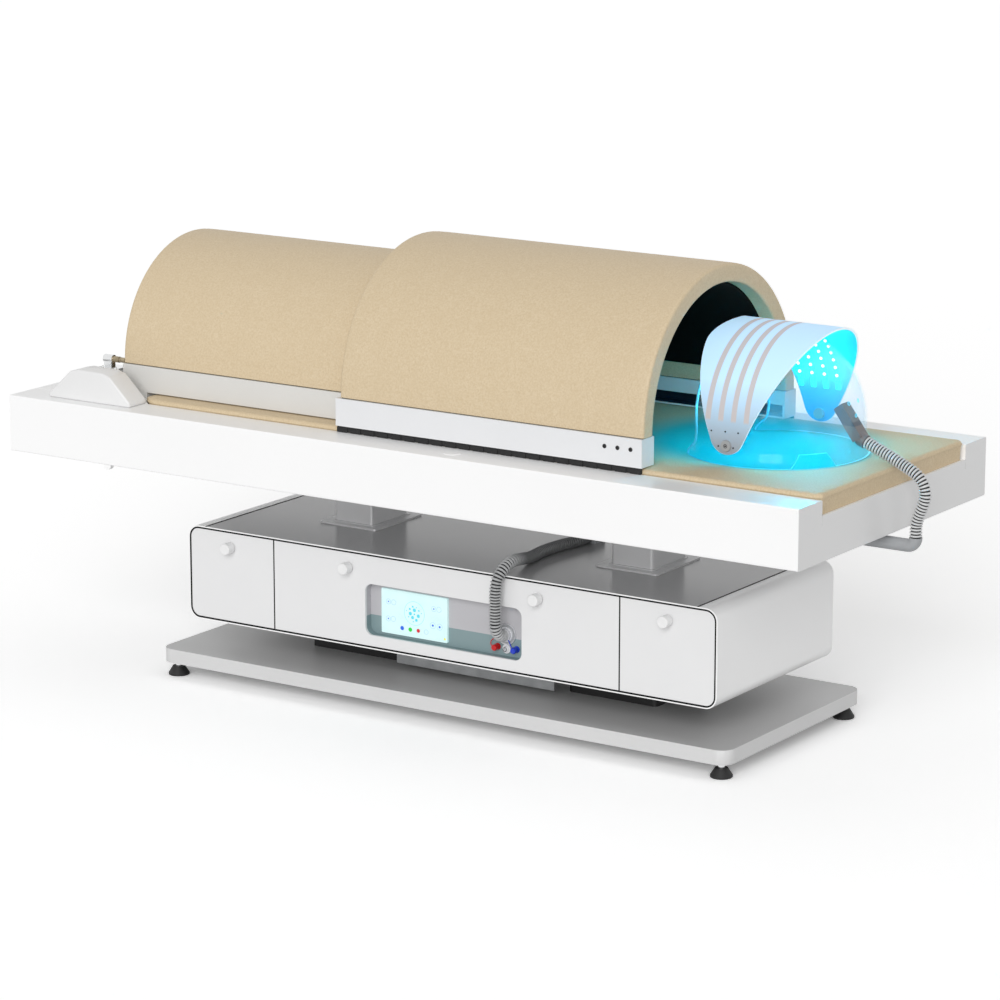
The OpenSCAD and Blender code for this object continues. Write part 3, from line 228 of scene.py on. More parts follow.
# hose cowl and the pipe under the deck: moulded PVC, a plain mid grey
grey_plastic = finish_of("moulded_pvc_grey", "#a9abad", "#909295", 0.38, 0.002, 0.0001, 0.08)
dress(grey_plastic, "hose_outlet", "elbow_pipe")


# STUDIO
# White floor that runs out of sight, a pale room all round and one broad soft
# lamp from the operator's side.
bpy.ops.mesh.primitive_circle_add(vertices=96, radius=60, fill_type="NGON", location=(0, 0, 0))
floor = bpy.context.object
floor.name = "studio_floor"
floor_paint = bpy.data.materials.new("white_paper_floor")
floor_paint.use_nodes = True
floor_paint.node_tree.nodes.remove(floor_paint.node_tree.nodes["Principled BSDF"])


def seen(mat):
    """1 for what the camera, a mirror or a clear piece sees, and 0 for light."""
    path = add(mat, "LightPath")
    first = add(mat, "Math", {0: path.outputs["Is Camera Ray"], 1: path.outputs["Is Glossy Ray"]},
                operation="MAXIMUM")
    return add(mat, "Math", {0: first.outputs[0], 1: path.outputs["Is Transmission Ray"]},
               operation="MAXIMUM").outputs[0]


plain = add(floor_paint, "BsdfDiffuse", {"Color": srgb("#e2e2e2")})
bright = add(floor_paint, "BsdfDiffuse", {"Color": (1.35, 1.35, 1.35, 1)})
glow = add(floor_paint, "Emission", {"Color": (1, 1, 1, 1), "Strength": 0.04})
lit = add(floor_paint, "AddShader", {0: bright.outputs[0], 1: glow.outputs[0]})
both = add(floor_paint, "MixShader", {0: seen(floor_paint), 1: plain.outputs[0], 2: lit.outputs[0]})
feed(floor_paint, 0, both.outputs[0], "Material Output")
floor.data.materials.append(floor_paint)

room = bpy.data.worlds.new("pale_room")
scene.world = room
room.use_nodes = True
feed(room, "Color", (1, 1, 1, 1), "Background")
back = add(room, "MapRange", {"Value": seen(room), "To Min": 0.52, "To Max": 1.0})
feed(room, "Strength", back.outputs[0], "Background")

bpy.ops.object.light_add(type="SUN", location=(1.5, -5, 3))
lamp = bpy.context.object
lamp.name = "soft_lamp"
lamp.rotation_euler = Vector((-0.33, 0.87, -0.36)).to_track_quat("-Z", "Y").to_euler()
lamp.data.energy = 1.75
lamp.data.angle = math.radians(40)


# BASE
# Plate of lacquered board on four levelling feet: chromed steel stems in
# moulded rubber pads.
def two_tone(mat, axis, side, edge, code):
    """Paints what lies on one side of a plane across an axis in a colour of its own."""
    spot = add(mat, "SeparateXYZ", {0: place_in(mat)})
    beyond = add(mat, "Math", {0: spot.outputs[axis], 1: edge}, operation=side)
    tone = add(mat, "Mix", {0: beyond.outputs[0], 6: colour_of(mat), 7: srgb(code)}, data_type="RGBA")
    feed(mat, "Base Color", tone.outputs[2])


# satin lacquer with a faint orange peel
lacquer = finish_of("satin_lacquer", "#d8d8d8", "#d0d0d0", 0.4, 0.004, 0.0001, 0.3)
# painted shade: the board's top, under the cabinet and deck, is painted a darker grey than its lacquered edge
plate_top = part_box("base_plate")[1][2]
two_tone(lacquer, "Z", "GREATER_THAN", plate_top - 0.0003, "#bcbcbc")
dress(lacquer, "base_plate")
# polished chrome plating: mirror-like, with a faint haze
chrome = finish_of("chrome_plating", "#eceded", "#dcddde", 0.2, 0.006, 0.00005, 0.05, metal=1.0, spread=0.03)
dress(chrome, "foot_stems", "clamp_brackets")
# moulded black rubber: matt, greyed by dust
rubber = finish_of("moulded_rubber", "#151516", "#0b0b0c", 0.62, 0.002, 0.0002, 0.05)
dress(rubber, "foot_pad_1", "foot_pad_2", "foot_pad_3", "foot_pad_4", "glide_strips")

# LIFTING COLUMNS
# Three telescoping sections of brushed aluminium on black motor housings, with
# collar plates on the cabinet and a folded channel between the two feet.

# brushed along its length and clear anodised: a soft upright grain
brushed = finish_of("brushed_aluminium", "#d6d6d7", "#c9c9ca", 0.4, 0.002, 0.0001, 0.2, metal=0.3)
stretch = add(brushed, "Mapping", {"Vector": place_in(brushed), "Scale": (1.0, 1.0, 0.04)})
lines = add(brushed, "TexNoise", {"Vector": stretch.outputs[0], "Scale": 900.0, "Detail": 3.0})
brush = add(brushed, "Bump", {"Height": lines.outputs[0], "Distance": 0.0001, "Strength": 0.5})
feed(brushed, "Normal", brush.outputs[0])
dress(brushed, "outer_columns", "middle_columns", "inner_columns", "collar_plates")
# moulded ABS in black, finely grained
black_plastic = finish_of("moulded_abs_black", "#19191a", "#111112", 0.45, 0.0015, 0.0001)
dress(black_plastic, "column_feet", "control_unit", "rail_screws")
# bare galvanised sheet: mottled grey
galvanised = finish_of("galvanised_sheet", "#b9bbbc", "#939597", 0.38, 0.02, 0.0001, 0.03, metal=0.8)
dress(galvanised, "tie_beam", "inner_frame", "drawer_slides", "deck_frame")

# CABINET
# Sheet wrap: white powder-coated end caps, mid grey gloss top and bottom with
# white front edges, and pale fronts. Drawer boxes of laminated board.

# powder coat: a fine orange peel with a soft gloss
white_coat = finish_of("powder_coat_white", "#fcfcfc", "#f8f8f8", 0.34, 0.003, 0.0001, 0.3)
dress(white_coat, "cabinet_end_caps")
gloss_grey = finish_of("gloss_coat_grey", "#9c9c9d", "#949495", 0.24, 0.01, 0.00003, 0.4, spread=0.02)
# the cut front edge of each sheet shows its white primer
two_tone(gloss_grey, "Y", "LESS_THAN", -0.2147, "#fafafa")
dress(gloss_grey, "cabinet_top", "cabinet_bottom")
front_coat = finish_of("powder_coat_pale", "#eaeaea", "#e4e4e5", 0.36, 0.003, 0.00012, 0.3)
# black edge bands at the two joints between the fronts
front_joints = (-0.472, 0.512)
spot = add(front_coat, "SeparateXYZ", {0: place_in(front_coat)})
for joint in front_joints:
    off = add(front_coat, "Math", {0: spot.outputs["X"], 1: joint}, operation="SUBTRACT")
    far = add(front_coat, "Math", {0: off.outputs[0]}, operation="ABSOLUTE")
    band = add(front_coat, "Math", {0: far.outputs[0], 1: 0.0019}, operation="LESS_THAN")
    tone = add(front_coat, "Mix", {0: band.outputs[0], 6: colour_of(front_coat), 7: srgb("#080808")},
               data_type="RGBA")
    feed(front_coat, "Base Color", tone.outputs[2])
dress(front_coat, "drawer_front_left", "drawer_front_right", "centre_cover", "cabinet_back")
# laminated board: matt and even
laminate = finish_of("laminated_board", "#d9d8d5", "#cecdca", 0.5, 0.004, 0.0001)
dress(laminate, "drawer_box_left", "drawer_box_right")
# turned aluminium knobs under a smooth white coat
knob_coat = finish_of("coated_aluminium_white", "#f1f1f1", "#e8e8e8", 0.3, 0.001, 0.00005, 0.02)
dress(knob_coat, "drawer_knob_left", "drawer_knob_right", "lock_knob_left", "lock_knob_right")


# FRONT SEALS
# Black rubber profile pressed into the gap round the three fronts, with a strip
# in each joint between them, and a thin bead where the end caps meet the top.
def bar(low, high):
    """In edit mode: adds a straight bar between two corners to the active piece."""
    size = [b - a for a, b in zip(low, high)]
    bpy.ops.mesh.select_all(action="DESELECT")
    bpy.ops.mesh.primitive_cube_add(size=1, location=[(a + b) / 2 for a, b in zip(low, high)])
    bpy.ops.transform.resize(value=size)


def deepened(depth):
    """In edit mode: gives flat faces a depth towards the back, all turned outwards."""
    bpy.ops.mesh.select_all(action="SELECT")
    bpy.ops.mesh.extrude_region_move(TRANSFORM_OT_translate={"value": (0, depth, 0)})
    bpy.ops.mesh.select_all(action="SELECT")
    bpy.ops.mesh.normals_make_consistent(inside=False)


def fitted(name, mat, body, round_edge=0.0, segments=2, angle=40):
    """Ends the modelling of the active piece: eased edges, finish and body."""
    if bpy.context.object.mode == "EDIT":
        bpy.ops.object.mode_set(mode="OBJECT")
    piece = bpy.context.object
    piece.name = piece.data.name = name
    bpy.ops.object.transform_apply(location=True, rotation=True, scale=True)
    if round_edge:
        ease = piece.modifiers.new("ease", "BEVEL")
        ease.width, ease.segments, ease.limit_method = round_edge, segments, "ANGLE"
        ease.angle_limit = math.radians(20)
        bpy.ops.object.modifier_apply(modifier=ease.name)
    bpy.ops.object.shade_smooth_by_angle(angle=math.radians(angle))
    piece.data.materials.clear()
    piece.data.materials.append(mat)
    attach(piece, body)
    bpy.ops.object.select_all(action="DESELECT")
    return piece


seal_long, seal_high, seal_corner, seal_wide, seal_deep = 1.4960, 0.2290, 0.0270, 0.0038, 0.0103
bpy.ops.mesh.primitive_plane_add(size=1, location=(0.02, -0.2152, 0.2635), rotation=(math.pi / 2, 0, 0))
bpy.ops.object.mode_set(mode="EDIT")
bpy.ops.transform.resize(value=(seal_long, 1, seal_high))
bpy.ops.mesh.bevel(offset=seal_corner, segments=8, affect="VERTICES")
bpy.ops.mesh.inset(thickness=seal_wide)
bpy.ops.mesh.delete(type="FACE")
deepened(seal_deep)
half_strip, half_bead, end_cap_joints = 0.00098, 0.0018, (-0.679, 0.719)
for x in front_joints:
    bar((x - half_strip, -0.2138, 0.1505), (x + half_strip, -0.2038, 0.3765))
for x in end_cap_joints:
    bar((x - half_bead, -0.2149, 0.3805), (x + half_bead, 0.3228, 0.3817))
# foamed rubber: deep black, with hardly a shine
foam_rubber = finish_of("foamed_rubber", "#0a0a0a", "#040404", 0.8, 0.001, 0.0002, 0.02)
feed(foam_rubber, "Specular IOR Level", 0.15)
fitted("front_seals", foam_rubber, "base")

# CONSOLE
# Moulded ABS tray behind the window, two tones with the join at 225 mm, a lit
# touch screen, a hose socket, a data socket and two small plugs.

# moulded ABS: an even colour under a fine matt grain
tray_plastic = finish_of("moulded_abs_two_tone", "#bfbec1", "#b5b4b8", 0.42, 0.0015, 0.0001)
two_tone(tray_plastic, "Z", "LESS_THAN", 0.2245, "#82979a")
dress(tray_plastic, "console_tray")
socket_plastic = finish_of("moulded_abs_pale", "#dcdde0", "#cfd0d4", 0.35, 0.001, 0.0001, 0.03)
dress(socket_plastic, "panel_sockets")
# moulded nylon: strong colour, a little glossy
red_plastic = finish_of("moulded_nylon_red", "#d0161b", "#b01014", 0.35, 0.001, 0.0001, 0.02)
dress(red_plastic, "red_plug")
blue_plastic = finish_of("moulded_nylon_blue", "#1a3fd0", "#1230a8", 0.35, 0.001, 0.0001, 0.02)
dress(blue_plastic, "blue_plug")

# each plug hangs on a short moulded tether, pressed into the tray beside it
tether_radius = 0.0012
tethers = {
    "red": (red_plastic, [[163, -197, 201], [157, -199, 199], [151, -200, 203],
                          [149, -200, 209], [152, -199, 216], [158, -196, 220]]),
    "blue": (blue_plastic, [[216, -197, 201], [210, -199, 203], [205, -200, 209],
                            [202, -200, 216], [198, -199, 221], [194, -196, 222]]),
}
for name, (mat, route) in tethers.items():
    line = smooth_line(route, 4)
    ways = np.gradient(line, axis=0)
    rings = []
    for here, way in zip(line, ways / np.linalg.norm(ways, axis=1, keepdims=True)):
        across = np.cross(way, (0, 1, 0))
        across /= np.linalg.norm(across)
        rings.append([here + tether_radius * (math.cos(a) * across + math.sin(a) * np.cross(way, across))
                      for a in np.arange(8) * math.tau / 8])
    tether = lofted(name + "_plug_tether", rings)
    tether.data.materials.append(mat)
    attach(tether, "base")


def glowing(mat, strength):
    """Lets a surface shine in its own colour."""
    feed(mat, "Emission Color", colour_of(mat))
    feed(mat, "Emission Strength", strength)


# lit glass: smooth, and evenly bright in pale cyan
screen_glass = finish_of("lit_screen_glass", "#d2eae9", "#c2e3e4", 0.12, 0.01, 0.00001, 0.05)
glowing(screen_glass, 0.28)
dress(screen_glass, "touch_screen")


def chosen(test):
    """In edit mode: selects the active piece's vertices by place."""
    bpy.ops.mesh.select_mode(type="VERT")
    bpy.ops.mesh.select_all(action="DESELECT")
    bpy.ops.object.mode_set(mode="OBJECT")
    for vertex in bpy.context.object.data.vertices:
        vertex.select = bool(test(vertex.co))
    bpy.ops.object.mode_set(mode="EDIT")


# ring that seats the hose socket on the tray
bpy.ops.mesh.primitive_cylinder_add(vertices=48, radius=0.0255, depth=0.005,
                                    location=(0.188, -0.1926, 0.233), rotation=(math.pi / 2, 0, 0))
bpy.ops.object.mode_set(mode="EDIT")
chosen(lambda co: co.z > 0)
bpy.ops.mesh.select_mode(type="FACE")
bpy.ops.mesh.inset(thickness=0.0024)
bpy.ops.transform.translate(value=(0, 0.0035, 0))
ring = fitted("socket_ring", socket_plastic, "base", 0.0006)
ring.data.materials.append(grey_plastic)
for face in ring.data.polygons:
    face.material_index = int(face.normal.y < -0.9 and face.center.y > -0.1925)
# black inlay of the data socket
bpy.ops.mesh.primitive_torus_add(major_radius=0.0049, minor_radius=0.0007, major_segments=32, minor_segments=8,
                                 rotation=(math.pi / 2, 0, 0), location=(0.191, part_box("panel_sockets")[0][1], 0.199))
fitted("data_socket_ring", black_plastic, "base")

# SCREEN PICTURE
# What the lit screen shows, as thin flat shapes on its glass: a dial of dots in
# a ring, round buttons with a dot, and a row of coloured marks.

# colour, the width of a ring's line or 0 for a dot, then x, z and radius, all
# in millimetres
marks = {
    "screen_cyan": ("#59cfe0", 0, [(-71.1, 253.9, 4.4), (-82.9, 244.2, 4.4), (-59.9, 241.1, 4.4), (-76.5, 235.2, 4.0),
                                   (-65.6, 230.1, 3.6), (-75.6, 261.9, 2.4), (-84.4, 255.2, 2.6), (-58.3, 254.2, 2.2),
                                   (-93.9, 249.6, 1.2), (-51.2, 248.8, 1.2), (-74.3, 225.6, 1.4), (-87.5, 235.5, 1.6),
                                   (-65.4, 260.8, 1.4), (-71.2, 243.7, 2.0)]),
    "screen_blue": ("#1d5fd6", 0, [(-106.7, 205.1, 5.2), (-146.1, 264.9, 1.7), (-146.5, 223.0, 1.7),
                                   (-15.4, 264.9, 1.7), (-18.2, 224.2, 2.6), (1.3, 223.3, 2.6)]),
    "screen_green": ("#1fc43a", 0, [(-83.2, 204.7, 5.2)]),
    "screen_red": ("#c81626", 0, [(-60.1, 205.2, 4.8)]),
    "screen_yellow": ("#e8e23c", 0, [(16.1, 195.8, 2.6)]),
    "screen_dial_ring": ("#8edfe8", 0.9, [(-71.2, 245.9, 29.4)]),
    "screen_button_rings": ("#a4cdee", 0.8, [
        (-146.1, 264.9, 6.8), (-130.9, 264.8, 6.8), (-146.5, 223.0, 6.8), (-132.4, 223.8, 6.8),
        (-15.4, 264.9, 6.8), (-0.4, 265.5, 6.8), (-18.2, 224.2, 8.0), (1.3, 223.3, 8.0), (-37.1, 205.4, 6.0)]),
}
glass_y, picture_depth = -0.1963, 0.0003


def blank():
    """Starts an empty mesh in edit mode, for primitives to be added to."""
    bpy.ops.mesh.primitive_plane_add(size=1, location=(0, 0, 0))
    bpy.ops.object.mode_set(mode="EDIT")
    bpy.ops.mesh.delete(type="VERT")


for name, (code, line, places) in marks.items():
    ink = finish_of("lit_" + name, code, code, 0.15, 0.004, 0.00001, 0.01)
    glowing(ink, 0.25)
    blank()
    for x, z, r in places:
        bpy.ops.mesh.select_all(action="DESELECT")
        bpy.ops.mesh.primitive_circle_add(vertices=48 if r > 10 else 20, radius=r / 1000, fill_type="NGON",
                                          location=(x / 1000, glass_y, z / 1000), rotation=(math.pi / 2, 0, 0))
        if line:
            bpy.ops.mesh.inset(thickness=line / 1000)
            bpy.ops.mesh.delete(type="FACE")
    deepened(picture_depth)
    fitted(name, ink, "base")

# DECK
# Gel-coated moulding, glossy white with a soft waviness: side rails and end
# boards screwed to the steel frame, and the pan that the mattress lies in.
deck_end = 1.1
gelcoat = finish_of("white_gelcoat", "#fafafa", "#f5f5f5", 0.3, 0.03, 0.0001, 0.5)
# painted shade: the deck's head end is painted a greyer tone than its sides, for the shade on that face
two_tone(gelcoat, "X", "GREATER_THAN", deck_end - 0.0008, "#e2e2e2")
dress(gelcoat, "deck_rails", "deck_ends", "deck_pan", "deck_fittings")

# FOOT HOUSINGS
# Vacuum-formed covers in white ABS over the canopy's end stops: sloped ends and
# soft edges, glued to the deck. The clamps beside them are chromed steel.
housing_abs = finish_of("formed_abs_white", "#e9e9e9", "#e1e1e1", 0.32, 0.003, 0.0001, 0.2)
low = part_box("end_housings")[0]
housing_long, housing_wide, housing_tall, housing_y = 0.25, 0.066, 0.077, -0.371
# distance from the foot end, and the height there
slope = [(0.0, 0.010), (0.067, 0.071), (0.092, 0.077), (0.168, 0.0755), (0.190, 0.0685), (0.25, 0.0115)]
bpy.ops.mesh.primitive_cube_add(size=1, location=(low[0] + housing_long / 2, housing_y, low[2] + housing_tall / 2))
bpy.ops.object.mode_set(mode="EDIT")
bpy.ops.transform.resize(value=(housing_long, housing_wide, housing_tall))
for along, _ in slope[1:-1]:
    bpy.ops.mesh.select_all(action="SELECT")
    bpy.ops.mesh.bisect(plane_co=(low[0] + along, 0, 0), plane_no=(1, 0, 0))
bpy.ops.object.mode_set(mode="OBJECT")
bpy.ops.object.transform_apply(location=True, rotation=True, scale=True)
bpy.ops.object.mode_set(mode="EDIT")
for along, top in slope:
    chosen(lambda co: abs(co.x - low[0] - along) < 0.001 and co.z > low[2] + 0.07)
    bpy.ops.transform.translate(value=(0, 0, top - housing_tall))
front_housing = fitted("foot_housing_front", housing_abs, "deck", 0.006, 4, 50)


def take_up(piece):
    """Makes a piece the only one selected, and active."""
    bpy.ops.object.select_all(action="DESELECT")
    piece.select_set(True)
    bpy.context.view_layer.objects.active = piece


take_up(front_housing)
bpy.ops.object.duplicate()
bpy.ops.object.mode_set(mode="EDIT")
bpy.ops.mesh.select_all(action="SELECT")
bpy.ops.transform.translate(value=(0, -2 * housing_y, 0))
back_housing = fitted("foot_housing_back", housing_abs, "deck", angle=50)
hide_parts("end_housings")
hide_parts("end_housings")
# clamp nuts and threads: yellow passivated steel, worn dark in places
passivated = finish_of("passivated_steel", "#c2b294", "#6e6350", 0.34, 0.0012, 0.0002, 0.01, metal=0.7)
dress(passivated, "clamp_pins")

# CANOPY RAILS
# Powder-coated aluminium channels in a pale grey white, screwed to the covers'
# shells. The wide pair runs on glide strips, the narrow pair is clamped down.
rail_coat = finish_of("powder_coat_rail", "#e4e5e7", "#dcdddf", 0.36, 0.003, 0.0001, 0.25)
dress(rail_coat, "big_rails")
# painted shade: the groove along each rail's inner side is painted dark navy, for its shade and the visor's blue light
# in it. Each number pair is its middle and half its size
spot = add(rail_coat, "SeparateXYZ", {0: place_in(rail_coat)})
from_middle = add(rail_coat, "Math", {0: spot.outputs["Y"]}, operation="ABSOLUTE")
in_groove = None
for along, middle, half in ((spot.outputs["X"], 0.235, 0.4068), (from_middle.outputs[0], 0.314, 0.0203),
                            (spot.outputs["Z"], 0.7326, 0.0137)):
    within = add(rail_coat, "Math", {0: along, 1: middle, 2: half}, operation="COMPARE")
    if in_groove is not None:
        within = add(rail_coat, "Math", {0: in_groove.outputs[0], 1: within.outputs[0]}, operation="MULTIPLY")
    in_groove = within
groove_painted_shade = add(rail_coat, "Mix", {0: in_groove.outputs[0], 6: colour_of(rail_coat), 7: srgb("#1a2c40")},
             data_type="RGBA")
feed(rail_coat, "Base Color", groove_painted_shade.outputs[2])
# painted shade: the narrow rails take a darker copy of the rail coat, for the shade they lie in
shaded_rail_coat = finish_of("powder_coat_rail_shaded", "#d9d8d5", "#d1d0cd", 0.4, 0.003, 0.0001, 0.25)
dress(shaded_rail_coat, "small_rails")
# the sawn edges of the rails and of the base plate are eased by 2 mm, and
# catch the light
for name in ("big_rails", "small_rails", "base_plate"):
    weld = nodes[name].modifiers.new("weld", "WELD")
    weld.merge_threshold = 0.00001
    ease = nodes[name].modifiers.new("ease", "BEVEL")
    ease.width, ease.segments, ease.limit_method = 0.002, 2, "ANGLE"
    ease.angle_limit = math.radians(35)
    ease.harden_normals = True
# painted shadow: a thin black strip between each cover and its rails, for the shadow line under the cover's edge
shadow_strip_low, shadow_strip_top = 0.7797, 0.7812
for name, body, x0, x1, y0, y1 in (("big_cover_shadow_strip", "canopy", -0.174, 0.646, 0.301, 0.3385),
                                   ("small_cover_shadow_strip", "deck", -0.862, -0.108, 0.247, 0.2845)):
    blank()
    for side in (-1, 1):
        bar((x0, min(side * y0, side * y1), shadow_strip_low), (x1, max(side * y0, side * y1), shadow_strip_top))
    fitted(name, rubber, body)


# PADDED PIECES
# Upholstery of fine pebbled leatherette over foam: both canopies' covers, glued
# round their shells, and the mattress in the deck's channel.
def puff(piece, held, most, pressure=4.0):
    """Fills a pad: its free skin swells under pressure, and no point moves more
    than the given length."""
    group = piece.vertex_groups.new(name="held")
    group.add([int(i) for i in held], 1.0, "REPLACE")
    cloth = piece.modifiers.new("fill", "CLOTH")
    cloth.settings.quality = 6
    cloth.settings.use_pressure = True
    cloth.settings.uniform_pressure_force = pressure
    cloth.settings.vertex_group_mass = "held"
    cloth.settings.effector_weights.gravity = 0
    last_step = 20
    for step in range(1, last_step + 1):
        scene.frame_set(step)
    ready = piece.evaluated_get(bpy.context.evaluated_depsgraph_get())
    count = len(piece.data.vertices) * 3
    rest, moved = np.zeros(count), np.zeros(count)
    piece.data.vertices.foreach_get("co", rest)
    ready.data.vertices.foreach_get("co", moved)
    piece.modifiers.remove(cloth)
    piece.vertex_groups.clear()
    way = (moved - rest).reshape(-1, 3)
    size = np.linalg.norm(way, axis=1, keepdims=True)
    way *= np.tanh(size / most) * most / np.maximum(size, 1e-9)
    piece.data.vertices.foreach_set("co", (rest.reshape(-1, 3) + way).ravel())
    piece.data.update()
    scene.frame_set(1)


def smoothed(piece):
    """Rounds a pad's skin with one level of subdivision, applied."""
    take_up(piece)
    soft = piece.modifiers.new("soft", "SUBSURF")
    soft.levels = soft.render_levels = 1
    bpy.ops.object.modifier_apply(modifier=soft.name)
    bpy.ops.object.shade_smooth()
    piece.select_set(False)


# leatherette: pebbles of about 1.3 mm, drawn at 4 mm so that they show, over a
# slow drift of tone, with a soft sheen
leatherette = finish_of("leatherette_beige", "#dac8aa", "#d2bf9f", 0.52, 0.004, 0.0003, 0.05)
pebbles = add(leatherette, "TexVoronoi", {"Vector": place_in(leatherette), "Scale": 260.0}, feature="SMOOTH_F1")
crease = add(leatherette, "TexNoise", {"Vector": place_in(leatherette), "Scale": 45.0, "Detail": 4.0})
heights = add(leatherette, "Math", {0: pebbles.outputs["Distance"], 1: crease.outputs[0]}, operation="ADD")
# the grain's creases hold the colour a little darker
grain = add(leatherette, "TexNoise", {"Vector": place_in(leatherette), "Scale": 240.0, "Detail": 2.0})
crease_tone = add(leatherette, "MapRange", {"Value": grain.outputs[0], "From Min": 0.35, "From Max": 0.65})
grained = add(leatherette, "Mix", {0: crease_tone.outputs[0], 6: srgb("#cdb998"), 7: colour_of(leatherette)},
              data_type="RGBA")
feed(leatherette, "Base Color", grained.outputs[2])
relief = add(leatherette, "Bump", {"Height": heights.outputs[0], "Distance": 0.0012, "Strength": 0.7})
feed(leatherette, "Normal", relief.outputs[0])
feed(leatherette, "Specular IOR Level", 0.35)


def padded_arch(name, node, x0, x1, r_out, thick, axis_z, low_z, most):
    """Half tunnel with round edges: a profile swept from leg to leg. No point
    of its outer skin swells by more than the last length given."""
    r_in = r_out - thick
    outer_round, inner_round = 0.006, 0.005
    foot_strip = 0.0012
    profile = []

    def arc(cx, cr, radius, a0, a1):
        for a in np.linspace(a0, a1, 5):
            profile.append((cx + radius * math.cos(a), cr + radius * math.sin(a)))

    def run(ax, bx, r, steps):
        for t in range(1, steps):
            profile.append((ax + (bx - ax) * t / steps, r))

    steps = round((x1 - x0) / 0.024)
    arc(x0 + inner_round, r_in + inner_round, inner_round, 1.5 * math.pi, math.pi)
    profile.append((x0, (r_in + r_out) / 2 - 0.004))
    arc(x0 + outer_round, r_out - outer_round, outer_round, math.pi, 0.5 * math.pi)
    run(x0 + outer_round, x1 - outer_round, r_out, steps)
    arc(x1 - outer_round, r_out - outer_round, outer_round, 0.5 * math.pi, 0)
    profile.append((x1, (r_in + r_out) / 2 - 0.004))
    arc(x1 - inner_round, r_in + inner_round, inner_round, 0, -0.5 * math.pi)
    run(x1 - inner_round, x0 + inner_round, r_in, steps)
    rings = [[(x, -r, z) for x, r in profile] for z in (low_z, low_z + foot_strip)]
    for a in np.linspace(math.pi, 0, 61):
        rings.append([(x, r * math.cos(a), axis_z + r * math.sin(a)) for x, r in profile])
    rings += [[(x, r, z) for x, r in profile] for z in (low_z + foot_strip, low_z)]
    piece = lofted(name, rings, 5)
    co = np.array([v.co for v in piece.data.vertices])
    radial = np.hypot(co[:, 1], np.maximum(co[:, 2] - axis_z, 0))
    held = np.where((radial < r_in + 0.5 * thick) | (co[:, 2] < axis_z + 0.001))[0]
    puff(piece, held, most)
    smoothed(piece)
    piece.data.materials.append(leatherette)
    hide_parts(node)
    return piece


# black felt lines the sliding canopy: it takes all light
felt = finish_of("black_felt", "#0b0b0b", "#050505", 0.9, 0.0015, 0.0004, 0.02)
feed(felt, "Specular IOR Level", 0.1)
feed(felt, "Sheen Weight", 0.02)
dress(felt, "big_liner")
# how thick the padding is, and how high the arch's centre and the legs' ends lie
arch = (0.043, 0.7826, 0.7806)
big_cover = padded_arch("sliding_canopy_cover", "big_cover", -0.178, 0.648, 0.341, *arch, 0.004)
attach(big_cover, "canopy")
small_cover = padded_arch("fixed_canopy_cover", "small_cover", -0.865, -0.105, 0.287, *arch, 0.002)
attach(small_cover, "deck")


def mattress_pad(x0, x1, half, low, top, corner, radius):
    """Pad with cut foot corners: a grid with closer lines at its edges, bent
    down over a round border, and drawn in towards its underside."""
    def grid(a, b, count):
        inset = [0.0, 0.0015, 0.004, 0.008, 0.013, 0.02]
        return sorted({a + i for i in inset} | {b - i for i in inset} | set(np.linspace(a + 0.04, b - 0.04, count)))

    xs, ys = grid(x0, x1, 74), grid(-half, half, 26)
    points, faces = [], []
    for x in xs:
        side = half - max(0.0, x0 + corner - x) - max(0.0, 0.012 - (x1 - x)) * 0.8
        for y in ys:
            yy = y * side / half
            d = min(x - x0, x1 - x, side - abs(yy), radius)
            z = top - radius + math.sqrt(radius ** 2 - (radius - d) ** 2)
            u, v = (x - (x0 + x1) / 2) / ((x1 - x0) / 2), yy / half  # -1 to 1 across the pad
            points.append([x, yy, z + 0.0016 * (1 - u * u) * (1 - v * v) * (d / radius)])
    rows, cols = len(xs), len(ys)
    for i in range(rows - 1):
        for j in range(cols - 1):
            a = i * cols + j
            faces.append([a, a + cols, a + cols + 1, a + 1])
    border = (list(range(cols)) + [i * cols + cols - 1 for i in range(1, rows)]
              + [(rows - 1) * cols + j for j in range(cols - 2, -1, -1)]
              + [i * cols for i in range(rows - 2, 0, -1)])
    before = border
    edge = top - radius
    middle = (x0 + x1) / 2
    for share, tuck in [(0.05, 0.0012), (0.12, 0.0028), (0.6, 0.003), (1.0, 0.0045)]:
        ring = []
        for k in border:
            x, y, _ = points[k]
            ring.append(len(points))
            points.append([x - np.sign(x - middle) * tuck * (abs(x - middle) > (x1 - x0) / 2 - 0.03),
                           y - np.sign(y) * tuck * (abs(y) > half - 0.03), edge + (low - edge) * share])
        n = len(ring)
        for k in range(n):
            faces.append([before[k], before[(k + 1) % n], ring[(k + 1) % n], ring[k]])
        before = ring
    below = dict(zip(border, before))
    for k in range(rows * cols):
        if k not in below:
            below[k] = len(points)
            points.append([points[k][0], points[k][1], low])
    faces += [[below[k] for k in reversed(face)] for face in faces[:(rows - 1) * (cols - 1)]]
    mesh = bpy.data.meshes.new("mattress_pad")
    mesh.from_pydata(points, [], faces)
    piece = bpy.data.objects.new("mattress_pad", mesh)
    scene.collection.objects.link(piece)
    take_up(piece)
    bpy.ops.object.mode_set(mode="EDIT")
    bpy.ops.mesh.select_all(action="SELECT")
    bpy.ops.mesh.normals_make_consistent(inside=False)
    bpy.ops.object.mode_set(mode="OBJECT")
    return piece


mattress = mattress_pad(-0.7794, 1.096, 0.3374, 0.6653, 0.7115, 0.028, 0.009)
held_below = 0.7035
co = np.array([v.co for v in mattress.data.vertices])
puff(mattress, np.where(co[:, 2] < held_below)[0], 0.0008, 1.5)
smoothed(mattress)
